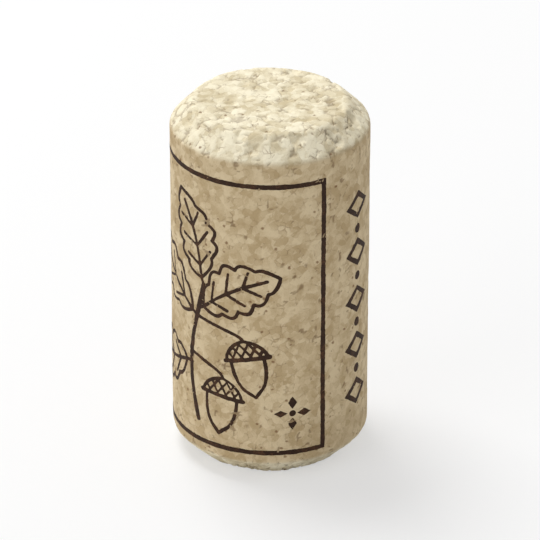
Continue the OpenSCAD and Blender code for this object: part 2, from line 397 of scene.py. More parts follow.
@dataclass
class TornHollows:
    """The hollows that torn granules leave in the cut ends, in the places that the solid has them:
    shallow bowls in a spiral of golden angles, and a smaller bowl that runs into some of them.

    A number from 0 to 1 with no visible order is the part after the point of stray_size times the
    sine of stray_turn times the hollow's number plus stray_kind times the kind of number.

    Attributes:
        radius, length, chamfer: the cork's sizes.
        gap: distance between the hollows.
        width, depth: size of the widest hollow's main bowl.
        bare_rim: how far the hollows' middles stay inside the cork's side.
        smallest: the smallest hollow's width, as a share of the widest one's.
        side_bowl: size of the bowl that runs into a hollow, as a share of the main bowl.
        side_step: how far that bowl is from the main one, as a share of the hollow's width.
        side_from: the number without visible order above which a hollow has that bowl.
        golden_angle, swing: degrees from hollow to hollow, and the most that one strays from there.
        ragged, ragged_size: how far the hollows' edges are pushed about, and over what distance.
        shade: how dark the bottom of the deepest hollow is, where a pit is 1, which the finish
            paints partly as its own browner colour and partly as painted shade.
        shade_depths: where that darkness starts and is full, as shares of the depth.
    """

    radius: float
    length: float
    chamfer: float
    gap: float = 3.5 * MM
    width: float = 1.9 * MM
    depth: float = 0.34 * MM
    bare_rim: float = 0.7 * MM
    smallest: float = 0.55
    side_bowl: float = 0.7
    side_step: float = 0.45
    side_from: float = 0.5
    golden_angle: float = 137.508
    swing: float = 30.0
    ragged: float = 0.3 * MM
    ragged_size: float = 0.8 * MM
    shade: float = 0.36
    shade_depths: Levels = (0.2, 0.9)
    stray_size: float = 43.7
    stray_turn: float = 127.1
    stray_kind: float = 311.7

    def stray(self, number: Array, kind: Stray) -> Array:
        """The numbers without visible order of one kind.

        Args:
            number: the hollows' numbers.
            kind: what they are for.

        Returns:
            One from 0 to 1 for each hollow.
        """
        angle = np.radians(self.stray_turn * number + self.stray_kind * kind)
        wave = self.stray_size * np.sin(angle)
        return wave - np.floor(wave)

    def bowls(self) -> tuple[Points, Array]:
        """The spheres that cut the hollows.

        The i-th hollow's reach from the axis gives each hollow an equal share of the flat end, and
        then of the chamfer. A bowl w wide and t deep is cut by a sphere of radius (ww/4 + tt) / 2t,
        whose middle is the radius less t above the surface.

        Returns:
            The spheres' middles (n, 3) and radii (n,), for the upper end and then the lower one.
        """
        flat = self.radius - self.chamfer
        most = math.sqrt(2.0) * math.pi * (self.radius / self.gap) ** 2
        number = np.arange(int(most) + 1)
        level = (number + 1) * self.gap ** 2 / math.pi - flat ** 2
        reach = np.sqrt(flat ** 2 + np.where(level > 0.0, level / math.sqrt(2.0), level))
        kept = reach < self.radius - self.bare_rim
        number, reach = number[kept], reach[kept]
        slope = np.maximum(0.0, reach - flat)
        tilt = np.where(slope > 0.0, math.pi / 4.0, 0.0)
        swing = self.swing * self.stray(number, Stray.BEARING)
        bearing = np.radians(self.golden_angle * number + swing)
        width = self.width * between(self.smallest, 1.0, self.stray(number, Stray.WIDTH))
        turn = 2.0 * math.pi * self.stray(number, Stray.TURN)
        double = self.stray(number, Stray.DOUBLE) > self.side_from
        middles, radii = [], []
        for share, step, there in (
            (1.0, 0.0, np.ones_like(double)),
            (self.side_bowl, self.side_step, double),
        ):
            wide = share * width
            deep = self.depth * wide / self.width
            radius = (wide ** 2 / 4.0 + deep ** 2) / (2.0 * deep)
            rise = radius - deep
            along, aside = step * width * np.cos(turn), step * width * np.sin(turn)
            outward = reach + along * np.cos(tilt) + rise * np.sin(tilt)
            upward = -slope - along * np.sin(tilt) + rise * np.cos(tilt)
            x = outward * np.cos(bearing) - aside * np.sin(bearing)
            y = outward * np.sin(bearing) + aside * np.cos(bearing)
            middles.append(np.stack([x, y, upward], axis=-1)[there])
            radii.append(radius[there])
        upper = np.concatenate(middles)
        both = np.concatenate([upper + (0.0, 0.0, self.length), upper * (1.0, 1.0, -1.0)])
        return both, np.tile(np.concatenate(radii), 2)

    def sunk(self, points: Points, outward: Array) -> Array:
        """How far the surface is sunk at its points.

        With q from a sphere's middle to a point and n the normal there, the sphere's far side lies
        (q.n) + root((q.n)(q.n) + rr - qq) below the point. The points are first pushed along the
        surface by soft noise, so that the hollows' edges are ragged.

        Args:
            points: places on the true form, shape (n, 3).
            outward: their normals, shape (n, 3).

        Returns:
            Depths, 0 outside the hollows, shape (n,).
        """
        push = soft_push(points, self.ragged_size, Salt.TORN)
        push -= outward * np.sum(push * outward, axis=1, keepdims=True)
        torn = points + self.ragged * push
        depth = np.zeros(len(points))
        for middle, radius in zip(*self.bowls()):
            away = torn - middle
            along = np.sum(away * outward, axis=1)
            inside = radius ** 2 - np.sum(away ** 2, axis=1)
            below = along + np.sqrt(np.maximum(inside + along ** 2, 0.0))
            depth = np.where(inside > 0.0, np.maximum(depth, below), depth)
        return depth

    def deepen(self, relief: Relief, points: Points, outward: Array) -> None:
        """Sinks a relief by the hollows, and marks their bottoms as hollow, which the finish
        darkens partly as their own browner colour and partly as painted shade.

        Args:
            relief: the relief, which is changed.
            points: its places on the true form, shape (n, 3).
            outward: the normals there, shape (n, 3).
        """
        sunk = self.sunk(points, outward)
        relief.height -= sunk
        shade = self.shade * eased(*self.shade_depths, sunk / self.depth)
        relief.hollow = np.maximum(relief.hollow, shade)


@dataclass
class CorkBody:
    """The cork: a rough skin over the true form, which is a cylinder with a flat end, a soft edge,
    a 45 degree chamfer and a second soft edge at each end.

    The skin is a grid of rings round the axis. Each flat end is a square grid bent into a disc,
    whose rim is the last ring, so that the skin is closed and has no pole.

    Attributes:
        radius, length: the cork's sizes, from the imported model.
        grain: how its surface is rough.
        facing: angle round the axis at which the printed frame's middle is.
        chamfer, edge_radius: width of the chamfers, and radius of the soft edges beside them.
        columns: points of a ring, a multiple of 4.
        side_rows, arc_rows, slope_rows: steps up the side, over a soft edge and over a chamfer.
        cut_from: how far a normal points up or down where the ground side starts to end, and where
            the cut end is complete.
        side_relief: the relief of the straight side's grid, for the print to lie on.
    """

    radius: float
    length: float
    grain: CorkGrain = field(default_factory=CorkGrain)
    facing: float = math.radians(164.5)
    chamfer: float = 2.6 * MM
    edge_radius: float = 1.0 * MM
    columns: int = 352
    side_rows: int = 178
    arc_rows: int = 4
    slope_rows: int = 15
    cut_from: Levels = (0.06, 0.8)
    side_relief: Relief = field(init=False)

    @property
    def soft(self) -> float:
        """How far a soft edge starts from the corner that it rounds."""
        return self.edge_radius * math.tan(math.pi / 8.0)

    @property
    def side_low(self) -> float:
        """Height at which the straight side starts."""
        return self.chamfer + self.soft

    @property
    def side_high(self) -> float:
        """Height at which the straight side ends."""
        return self.length - self.side_low

    def half_profile(self) -> tuple[Array, Array]:
        """The lower end's profile from the flat end's rim to the foot of the side.

        Two arcs of 45 degrees about their centres, with a straight slope between them.

        Returns:
            Points (distance from the axis, height) and the outward normals there, each (n, 2).
        """
        arcs = []
        for start, centre in (
            (-math.pi / 2.0, (self.radius - self.chamfer - self.soft, self.edge_radius)),
            (-math.pi / 4.0, (self.radius - self.edge_radius, self.side_low)),
        ):
            turn = spaced(self.arc_rows, start, start + math.pi / 4.0)
            normals = flat_points(np.cos(turn), np.sin(turn))
            arcs.append((np.array(centre) + self.edge_radius * normals, normals))
        (low, low_normals), (high, high_normals) = arcs
        share = spaced(self.slope_rows)[1:-1, None]
        slope = low[-1] * (1.0 - share) + high[0] * share
        slant = np.repeat(low_normals[-1:], len(slope), axis=0)
        normals = np.concatenate([low_normals, slant, high_normals])
        return np.concatenate([low, slope, high]), normals

    def profile(self) -> tuple[Array, Array]:
        """The whole profile, from the lower end's rim up the side to the upper end's rim.

        Returns:
            Points and outward normals, as half_profile gives them.
        """
        places, normals = self.half_profile()
        heights = spaced(self.side_rows, self.side_low, self.side_high)[1:-1]
        side = flat_points(self.radius, heights)
        outward = flat_points(1.0, np.zeros_like(heights))
        flip = (1.0, -1.0)
        upper = places[::-1] * flip + (0.0, self.length)
        normals = np.concatenate([normals, outward, normals[::-1] * flip])
        return np.concatenate([places, side, upper]), normals

    def angles(self) -> Array:
        """Angle of each column round the axis. The first is opposite the printed frame's middle."""
        return self.facing - math.pi + 2.0 * math.pi * np.arange(self.columns) / self.columns

    def disc_grid(self, rim_radius: float) -> tuple[Array, Array]:
        """A square grid bent into a disc.

        A point (a, b) of the square goes to the radius of its larger coordinate, and to the angle
        45 degrees times the smaller over the larger, from that coordinate's axis. Squares become
        circles, and the rim's points are evenly spaced.

        Args:
            rim_radius: radius of the disc.

        Returns:
            Places (x, y), shape (n, n, 2), and for the rim's points the column of the ring, with -1
            inside, shape (n, n).
        """
        count = self.columns // 4
        line = spaced(count, -1.0, 1.0)
        a, b = np.meshgrid(line, line, indexing="ij")
        wide = np.abs(a) > np.abs(b)
        reach = np.where(wide, a, b)
        safe = np.where(reach == 0.0, 1.0, reach)
        turn = np.where(wide, math.pi / 4 * b / safe, math.pi / 2 - math.pi / 4 * a / safe)
        angle = turn + np.where(reach < 0.0, math.pi, 0.0)
        rim = np.maximum(np.abs(a), np.abs(b)) > 1.0 - 0.5 / count
        column = np.rint(angle / (2.0 * math.pi) * self.columns).astype(int) % self.columns
        away = np.abs(reach) * rim_radius
        bearing = angle + self.angles()[0]
        places = flat_points(away * np.cos(bearing), away * np.sin(bearing))
        return places, np.where(rim, column, -1)

    def swept(self, pairs: Array) -> Array:
        """The profile's pairs carried round the axis.

        Args:
            pairs: (outward, upward), shape (rows, 2).

        Returns:
            The same at each column's angle, as (x, y, z), shape (rows, columns, 3).
        """
        turn = self.angles()
        around = flat_points(np.cos(turn), np.sin(turn))
        upward = np.broadcast_to(pairs[:, None, 1:], (len(pairs), self.columns, 1))
        return np.concatenate([pairs[:, None, :1] * around, upward], axis=-1)

    def skin(self) -> tuple[Points, Array, Array, Array]:
        """The true form's grid.

        Returns:
            Points (n, 3), their normals (n, 3), how much each belongs to a cut end (n,), and the
            triangles (m, 3).
        """
        places, slants = self.profile()
        rows = len(places)
        number = np.arange(rows * self.columns).reshape(rows, self.columns)
        follow = np.roll(number, -1, axis=1)
        below, right, above, across = number[:-1], follow[:-1], number[1:], follow[1:]
        faces = [np.stack([below, right, across], -1), np.stack([below, across, above], -1)]
        points = [self.swept(places).reshape(-1, 3)]
        outward = [self.swept(slants).reshape(-1, 3)]
        count = number.size
        for ring, height, up in ((0, 0.0, -1.0), (rows - 1, self.length, 1.0)):
            flat, column = self.disc_grid(places[ring, 0])
            inner = column < 0
            added = int(inner.sum())
            index = number[ring][column]
            index[inner] = count + np.arange(added)
            count += added
            points.append(np.concatenate([flat[inner], np.full((added, 1), height)], axis=-1))
            outward.append(np.tile([0.0, 0.0, up], (added, 1)))
            corners = (index[:-1, :-1], index[1:, :-1], index[1:, 1:], index[:-1, 1:])
            halves = ((0, 1, 2), (0, 2, 3)) if up > 0 else ((0, 2, 1), (0, 3, 2))
            faces += [np.stack([corners[k] for k in half], -1) for half in halves]
        outward = np.concatenate(outward)
        cut = eased(*self.cut_from, np.abs(outward[:, 2]))
        triangles = np.concatenate([face.reshape(-1, 3) for face in faces])
        return np.concatenate(points), outward, cut, triangles

    def build(self, material: Material) -> Piece:
        """Makes the cork, and keeps the relief of its side for the print to lie on.

        Args:
            material: the cork's finish, which reads the attributes cut, hollow and granule.

        Returns:
            The piece, reported to the frame.
        """
        points, outward, cut, triangles = self.skin()
        relief = self.grain.relief(points, cut)
        TornHollows(self.radius, self.length, self.chamfer).deepen(relief, points, outward)
        rough = points + outward * relief.height[:, None]
        piece = make_piece("cork_skin", rough, triangles, material)
        for name, values in (("cut", cut), ("hollow", relief.hollow), ("granule", relief.tone)):
            add_attribute(piece, name, values)
        # The rings of the straight side come next after those of the lower end.
        start = (self.arc_rows * 2 + self.slope_rows) * self.columns
        stop = start + (self.side_rows + 1) * self.columns
        self.side_relief = Relief(*(
            values[start:stop].reshape(self.side_rows + 1, self.columns)
            for values in (relief.height, relief.hollow, relief.tone)
        ))
        enlist(piece, Node.BODY)
        return piece


# ---- the print ----


@dataclass
class PrintSheet:
    """The cork's straight side unrolled flat, as a grid finer than the skin's.

    Attributes:
        cork: the cork that is printed.
        finer: how many steps of the grid make one step of the skin's.
        x: places of the grid's columns, from the middle of the printed frame.
        y: heights of its rows.
    """

    cork: CorkBody
    finer: int = 2
    x: Array = field(init=False)
    y: Array = field(init=False)

    def __post_init__(self) -> None:
        """Spaces the grid evenly, round the whole side and over its whole height."""
        cork = self.cork
        half_round = math.pi * cork.radius
        self.x = spaced(cork.columns * self.finer, -half_round, half_round)
        self.y = spaced(cork.side_rows * self.finer, cork.side_low, cork.side_high)

    def sampled(self, values: Array, x: Array, y: Array) -> Array:
        """Values of the skin's grid at places between its points.

        Each of the skin's cells is two flat triangles, cut from its lower left corner to its upper
        right one, and the value runs straight over each.

        Args:
            values: one for each point of the side's grid, shape (rows, columns).
            x: places round the side.
            y: heights.

        Returns:
            The values there.
        """
        rows, columns = values.shape
        across = (x - self.x[0]) / (self.x[-1] - self.x[0]) * columns
        up = (y - self.y[0]) / (self.y[-1] - self.y[0]) * (rows - 1)
        column = np.clip(np.floor(across).astype(int), 0, columns - 1)
        row = np.clip(np.floor(up).astype(int), 0, rows - 2)
        s, t = across - column, up - row
        beside = (column + 1) % columns
        start, end = values[row, column], values[row + 1, beside]
        turn = np.where(s >= t, values[row, beside], values[row + 1, column])
        return start + np.maximum(s, t) * (turn - start) + np.minimum(s, t) * (end - turn)

    def bent(self, x: Array, y: Array, lift: float) -> Points:
        """Places on the sheet, bent round the cork.

        A place's x over the radius is its angle from the frame's middle. Its distance from the axis
        is the radius plus the relief of the skin there and the lift.

        Args:
            x: places round the side, shape (n,).
            y: heights, shape (n,).
            lift: how far off the skin they lie.

        Returns:
            Places in space, shape (n, 3).
        """
        angle = self.cork.facing + x / self.cork.radius
        away = self.cork.radius + lift + self.sampled(self.cork.side_relief.height, x, y)
        return np.stack([away * np.cos(angle), away * np.sin(angle), y], axis=-1)


def turned(points: Points, place: Points, angle: float) -> Points:
    """Flat points turned clockwise about the origin, and then moved to a place.

    Args:
        points: the points, shape (n, 2).
        place: where the origin goes, shape (2,).
        angle: the turn in degrees.

    Returns:
        The moved points, shape (n, 2).
    """
    turn = math.radians(angle)
    x, y = points.T
    across = x * math.cos(turn) + y * math.sin(turn)
    up = y * math.cos(turn) - x * math.sin(turn)
    return flat_points(across, up) + place


def lozenge(place: Points, width: float, height: float) -> Points:
    """A lozenge's corners about a place, clockwise from the left."""
    corners = [(-width / 2, 0.0), (0.0, height / 2), (width / 2, 0.0), (0.0, -height / 2)]
    return place + np.array(corners)


class Drawing:
    """Ink on the sheet, as a field over its grid: the distance to the nearest edge of the ink,
    below zero inside it. Each stroke lowers the field near itself to its own distance.

    Attributes:
        margin: how far from a stroke the field is kept.
        dot_run: length of the line that a dot is drawn as.
        sheet: what is drawn on.
        edge: the field, shape (rows, columns).
    """

    margin: ClassVar[float] = 0.5 * MM
    dot_run: ClassVar[float] = 0.001 * MM

    def __init__(self, sheet: PrintSheet) -> None:
        """Starts with a clean sheet."""
        self.sheet = sheet
        self.edge = np.full((len(sheet.y), len(sheet.x)), self.margin)

    def window(self, low: Points, high: Points) -> tuple[tuple[slice, slice], Array, Array]:
        """The part of the grid between two corners, with a margin round it.

        Args:
            low: the lower left corner, shape (2,).
            high: the upper right corner, shape (2,).

        Returns:
            The part's rows and columns, and x and y at its points.
        """
        (left, bottom), (right, top) = low - self.margin, high + self.margin
        columns = slice(*np.searchsorted(self.sheet.x, (left, right)))
        rows = slice(*np.searchsorted(self.sheet.y, (bottom, top)))
        return (rows, columns), *np.meshgrid(self.sheet.x[columns], self.sheet.y[rows])

    @staticmethod
    def outside(outline: Points, x: Array, y: Array) -> Array:
        """How far places lie outside an outline: the most of their distances from all its sides.

        Args:
            outline: a clockwise, bulging outline, shape (n, 2).
            x: the places' x.
            y: the places' y.

        Returns:
            The distances, below zero inside the outline.
        """
        far = np.full(x.shape, -math.inf)
        for start, end in zip(outline, np.roll(outline, -1, axis=0)):
            run = (end - start) / np.linalg.norm(end - start)
            far = np.maximum(far, run[0] * (y - start[1]) - run[1] * (x - start[0]))
        return far

    def line(self, path: Points, width: float, within: Points | None = None) -> None:
        """A stroke with round ends: the distance to its path less half its width.

        Args:
            path: the middle of the stroke, shape (n, 2).
            width: its width.
            within: an outline, clockwise and bulging, that the stroke is cut off at.
        """
        for start, end in zip(path[:-1], path[1:]):
            low = np.minimum(start, end) - width / 2
            part, x, y = self.window(low, np.maximum(start, end) + width / 2)
            run = end - start
            share = ((x - start[0]) * run[0] + (y - start[1]) * run[1]) / (run @ run)
            share = np.clip(share, 0.0, 1.0)
            across, up = x - start[0] - share * run[0], y - start[1] - share * run[1]
            away = np.hypot(across, up) - width / 2
            if within is not None:
                away = np.maximum(away, self.outside(within, x, y))
            self.edge[part] = np.minimum(self.edge[part], away)

    def area(self, outline: Points, hole: Points | None = None) -> None:
        """A filled area.

        Args:
            outline: its outline, clockwise and bulging, shape (n, 2).
            hole: the outline of a hole in it, of the same kind.
        """
        part, x, y = self.window(outline.min(axis=0), outline.max(axis=0))
        away = self.outside(outline, x, y)
        if hole is not None:
            away = np.maximum(away, -self.outside(hole, x, y))
        self.edge[part] = np.minimum(self.edge[part], away)

    def dot(self, place: Points, diameter: float) -> None:
        """A round dot: a stroke that hardly runs at all."""
        self.line(np.array([place, place + (0.0, self.dot_run)]), diameter)


@dataclass
class InkFlow:
    """How ink takes on cork: its edge wanders a little, and it skips pits and open seams.

    Attributes:
        fine, fine_size: how far the edge wanders over short distances, and those distances.
        broad, broad_size: the same over longer distances.
        skip_hollow: how hollow the cork is where the ink starts to skip.
        skip_slope: how fast the ink's edge draws back past there.
    """

    fine: float = 0.035 * MM
    fine_size: float = 0.3 * MM
    broad: float = 0.04 * MM
    broad_size: float = 1.6 * MM
    skip_hollow: float = 0.78
    skip_slope: float = 0.5 * MM

    def spread(self, drawing: Drawing) -> Array:
        """The drawing's field as the ink takes: with soft noise of two sizes, raised in hollows.

        Args:
            drawing: the drawing, which stays as it is.

        Returns:
            The new field, shape (rows, columns).
        """
        sheet = drawing.sheet
        x, y = np.meshgrid(sheet.x, sheet.y)
        flat = np.stack([x.ravel(), y.ravel(), np.zeros(x.size)], axis=-1)
        wander = self.fine * soft_noise(flat, self.fine_size, Salt.INK_FINE)
        wander += self.broad * soft_noise(flat, self.broad_size, Salt.INK_BROAD)
        hollow = sheet.sampled(sheet.cork.side_relief.hollow, x, y)
        skipped = self.skip_slope * (hollow - self.skip_hollow)
        return np.maximum(drawing.edge + wander.reshape(x.shape), skipped)


@dataclass
class InkShell:
    """A closed thin shell of ink over the parts of the sheet where a field is below zero.

    Every cell of the grid is cut by marching squares: the field runs straight along its sides, and
    the ink's edge joins the places where it is zero. The top lies just off the skin, the bottom
    under it, and walls join the two.

    Attributes:
        sheet: the sheet that is inked.
        above, below: how far the top lies off the skin, and the bottom under it.
        nearest_cut: the least share of a cell's side between the ink's edge and a corner.
    """

    sheet: PrintSheet
    above: float = 0.014 * MM
    below: float = 0.08 * MM
    nearest_cut: float = 0.12

    @staticmethod
    def outlines(case: int) -> list[list[int]]:
        """The ink's polygons in a cell.

        Where two opposite corners are inked, each has a triangle of its own. Otherwise one ring
        takes up the inked corners and the cuts between inked and bare ones in turn.

        Args:
            case: a number whose bit k is set where corner k is inked. The corners go anticlockwise
                from the lower left.

        Returns:
            Lists of places, anticlockwise: 2k is corner k, and 2k + 1 the cut between it and the
            next one.
        """
        inked = [bool(case >> k & 1) for k in range(4)]
        if inked[0] == inked[2] and inked[1] == inked[3] and inked[0] != inked[1]:
            return [[(2 * k - 1) % 8, 2 * k, 2 * k + 1] for k in range(4) if inked[k]]
        ring = []
        for k in range(4):
            ring += [2 * k] * inked[k] + [2 * k + 1] * (inked[k] != inked[(k + 1) % 4])
        return [ring]

    def marks(self, edge: Array) -> tuple[Points, list[Array]]:
        """The places on the sheet that the shell's polygons join.

        They are the inked points of the grid, and the cuts between an inked point and a bare one
        beside it or above it. A cut is where the field, which runs straight, is zero.

        Args:
            edge: the field over the sheet's grid.

        Returns:
            The places (n, 2), and for the points, the cuts beside them and the cuts above them the
            place's number, -1 where there is none.
        """
        inked = edge < 0.0
        beside = inked[:, 1:] != inked[:, :-1]
        upright = inked[1:] != inked[:-1]
        x, y = np.meshgrid(self.sheet.x, self.sheet.y)
        places, numbers, count = [], [], 0
        for there, step in ((inked, (0, 0)), (beside, (0, 1)), (upright, (1, 0))):
            here = np.nonzero(there)
            other = (here[0] + step[0], here[1] + step[1])
            fall = edge[here] - edge[other]
            share = edge[here] / np.where(fall == 0.0, 1.0, fall)
            share = np.clip(share, self.nearest_cut, 1.0 - self.nearest_cut) * any(step)
            places.append(flat_points(*(
                line[here] + share * (line[other] - line[here]) for line in (x, y)
            )))
            number = np.full(there.shape, -1)
            number[here] = count + np.arange(len(share))
            numbers.append(number)
            count += len(share)
        return np.concatenate(places), numbers

    def build(self, edge: Array) -> tuple[Points, Array]:
        """The shell's points and triangles.

        Args:
            edge: the field over the sheet's grid, above zero at its border.

        Returns:
            Points (n, 3) and triangles (m, 3).
        """
        flat, (at, sideways, up) = self.marks(edge)
        count = len(flat)
        around = np.stack([
            at[:-1, :-1], sideways[:-1], at[:-1, 1:], up[:, 1:],
            at[1:, 1:], sideways[1:], at[1:, :-1], up[:, :-1],
        ], axis=-1)
        case = (around[..., ::2] >= 0) @ np.array([1, 2, 4, 8])
        tops, rims = [], []
        for kind in range(1, 16):
            cells = around[case == kind]
            for ring in self.outlines(kind):
                tops += [cells[:, [ring[0], a, b]] for a, b in zip(ring[1:-1], ring[2:])]
                pairs = zip(ring, ring[1:] + ring[:1])
                rims += [cells[:, [a, b]] for a, b in pairs if a % 2 and b % 2]
        top = np.concatenate(tops)
        start, end = np.concatenate(rims).T
        walls = [(start, start + count, end + count), (start, end + count, end)]
        faces = [top, top[:, ::-1] + count, *(np.stack(wall, axis=-1) for wall in walls)]
        lifted = [self.sheet.bent(*flat.T, lift) for lift in (self.above, -self.below)]
        return np.concatenate(lifted), np.concatenate(faces)


@dataclass
class PrintLayout:
    """Where the print's parts are on the sheet.

    Attributes:
        radius: the cork's radius.
        low, high: heights of the printed frame's lower and upper edges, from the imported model.
        strip_angle: the bare strip between the frame's upright lines, in degrees round the axis.
        line: width of the frame's lines.
    """

    radius: float
    low: float
    high: float
    strip_angle: float = 82.0
    line: float = 0.6 * MM

    @property
    def edge(self) -> float:
        """From the frame's middle to its outer edge, along the side."""
        return math.radians(360.0 - self.strip_angle) / 2.0 * self.radius

    @property
    def middle(self) -> float:
        """Height of the frame's middle."""
        return (self.low + self.high) / 2.0


@dataclass
class Motif(ABC):
    """A part of the print: what it draws, and the piece of ink that it becomes.

    Attributes:
        node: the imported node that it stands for.
        layout: where the print's parts are.
        stroke: width of the motifs' lines.
        fine: width of the finer lines, as a share of the stroke.
        sharpest: angle in degrees from which an edge of the ink stays crisp.
    """

    node: ClassVar[Node]
    layout: PrintLayout
    stroke: float = 0.42 * MM
    fine: float = 0.85
    sharpest: float = 50.0

    @abstractmethod
    def draw(self, drawing: Drawing) -> None:
        """Puts this part's strokes on a drawing.

        Args:
            drawing: what it is drawn on.
        """

    def build(self, sheet: PrintSheet, material: Material) -> Piece:
        """Draws this part, lets its ink spread and makes its shell, with crisp rims.

        Args:
            sheet: the sheet that it is printed on.
            material: the ink's finish.

        Returns:
            The piece, reported to the frame.
        """
        drawing = Drawing(sheet)
        self.draw(drawing)
        points, triangles = InkShell(sheet).build(InkFlow().spread(drawing))
        piece = make_piece(self.node.value.replace("printed", "ink"), points, triangles, material)
        piece.data.set_sharp_from_angle(angle=math.radians(self.sharpest))
        enlist(piece, self.node)
        return piece


@dataclass
class FrameBorder(Motif):
    """The dark rectangle that goes round most of the side."""

    node: ClassVar[Node] = Node.FRAME

    def draw(self, drawing: Drawing) -> None:
        """A rectangle inside a rectangle, each clockwise from its lower left corner.

        Args:
            drawing: what it is drawn on.
        """
        plan = self.layout
        outer, inner = (
            np.array([
                (inset - plan.edge, plan.low + inset), (inset - plan.edge, plan.high - inset),
                (plan.edge - inset, plan.high - inset), (plan.edge - inset, plan.low + inset),
            ])
            for inset in (0.0, plan.line)
        )
        drawing.area(outer, inner)


@dataclass
class OakSprig(Motif):
    """A bent twig with four toothed leaves and two acorns.

    Attributes:
        inset: distance of the twig from the frame's right upright line.
        twig_length, twig_drop: the twig's length, and how far it starts below the frame's middle.
        twig_sway: how far the twig sways to each side.
        sway_start, sway_run: degrees of the sway's sine wave at the foot, and over the whole twig.
        long_leaf, short_leaf: lengths of the leaves.
        leaf_bend: how far a leaf's midrib bends sideways.
        leaf_width: width of a leaf between its teeth.
        leaf_swell: powers that shape the leaf's arch, of the share of its length and of the sine.
        tooth, leaf_teeth: how far the teeth stand out, and how many there are on each side.
        tooth_steps: how many straight steps a tooth is drawn in.
        midrib_end: where the midrib stops, as a share of the leaf's length.
        vein_pairs: how many pairs of veins a leaf has.
        first_vein, last_vein: where the lowest and the highest veins leave the midrib.
        vein_rise, vein_reach: how much further up a vein ends, and how near it comes to the edge.
        stalk: length of a leaf's stalk.
        high_reach, low_reach: how far the two acorns hang out from the twig.
        nut_length, nut_width, nut_point: sizes of an acorn's nut below its cup, and of its tip.
        nut_swell: powers that shape the nut's side, of the share of its length and of the rest.
        nut_end: where the nut's side gives way to its tip.
        cup_height, cup_rim, cup_swell: the cup's height, how far its rim stands out past the nut,
            and the power that shapes its dome.
        hatch_count, hatch_pitch: the cup's hatch lines each way from its middle, and their spacing.
        hatch_lean: how far they lean each way, as a share of the cup's height.
        hatch_past: how far they run past the cup before they are cut off.
        twig_width, rim_width, hatch_width: widths of these lines, as shares of the stroke.
    """

    node: ClassVar[Node] = Node.SPRIG
    inset: float = 15.9 * MM
    twig_length: float = 18.0 * MM
    twig_drop: float = 14.6 * MM
    twig_sway: float = 1.3 * MM
    sway_start: float = -175.0
    sway_run: float = 216.0
    long_leaf: float = 13.0 * MM
    short_leaf: float = 10.8 * MM
    leaf_bend: float = 0.8 * MM
    leaf_width: float = 5.8 * MM
    leaf_swell: tuple[float, float] = (0.9, 0.75)
    tooth: float = 0.7 * MM
    leaf_teeth: int = 5
    tooth_steps: int = 10
    midrib_end: float = 0.86
    vein_pairs: int = 3
    first_vein: float = 0.14
    last_vein: float = 0.58
    vein_rise: float = 0.14
    vein_reach: float = 0.66
    stalk: float = 0.9 * MM
    high_reach: float = 6.7 * MM
    low_reach: float = 4.8 * MM
    nut_length: float = 4.6 * MM
    nut_width: float = 4.0 * MM
    nut_point: float = 0.4 * MM
    nut_swell: tuple[float, float] = (2.6, 0.55)
    nut_end: float = 0.95
    cup_height: float = 2.4 * MM
    cup_rim: float = 0.5 * MM
    cup_swell: float = 0.6
    hatch_count: int = 2
    hatch_pitch: float = 1.1 * MM
    hatch_lean: float = 0.6
    hatch_past: float = 1.0 * MM
    twig_width: float = 1.5
    rim_width: float = 1.3
    hatch_width: float = 0.7

    def twig(self, t: Numbers) -> Points:
        """Where the twig is: a sine wave about an upright line.

        Args:
            t: share of its length.

        Returns:
            Places on the sheet, shape (n, 2), or (2,) for one share.
        """
        sway = np.sin(np.radians(self.sway_start + self.sway_run * t))
        x = self.layout.edge - self.inset + self.twig_sway * sway
        return flat_points(x, self.layout.middle - self.twig_drop + self.twig_length * t)

    def half_width(self, t: Numbers) -> Numbers:
        """Half a leaf's width: a swelling arch times a toothed edge.

        The arch is the sine of half a turn times t to one power, all to the other power. The teeth
        are the sine of half a turn times t for each tooth, without its sign.

        Args:
            t: share of the leaf's length.

        Returns:
            Half the width there.
        """
        lean, swell = self.leaf_swell
        arch = np.maximum(np.sin(math.pi * np.power(t, lean)), 0.0) ** swell
        teeth = np.abs(np.sin(math.pi * self.leaf_teeth * t)) - 0.5
        return arch * (self.leaf_width / 2.0 + self.tooth * teeth)

    def leaf(self, drawing: Drawing, place: Points, angle: float, length: float, bend: int) -> None:
        """A leaf: its two toothed edges, its midrib with the stalk, and its veins.

        Args:
            drawing: what it is drawn on.
            place: where its stalk starts.
            angle: how far it turns clockwise from upright, in degrees.
            length: from its base to its tip.
            bend: the side that its midrib bends to, 1 or -1.
        """
        turn = math.radians(angle)
        base = place + self.stalk * np.array([math.sin(turn), math.cos(turn)])

        def at(t: Numbers, out: Numbers = 0.0) -> Points:
            """Places at a share of the length, out from the midrib, which is half a sine wave."""
            return flat_points(bend * self.leaf_bend * np.sin(math.pi * t) + out, length * t)

        edge = spaced(self.leaf_teeth * self.tooth_steps)
        midrib = at(spaced(steps=8, end=self.midrib_end))
        midrib = np.concatenate([[(0.0, -self.stalk)], midrib])
        drawing.line(turned(midrib, base, angle), self.stroke)
        for hand in (-1, 1):
            drawing.line(turned(at(edge, hand * self.half_width(edge)), base, angle), self.stroke)
            for start in spaced(self.vein_pairs - 1, self.first_vein, self.last_vein):
                run = spaced(steps=2)
                reach = self.vein_reach * run * self.half_width(start + self.vein_rise)
                vein = at(start + self.vein_rise * run, hand * reach)
                drawing.line(turned(vein, base, angle), self.stroke * self.fine)

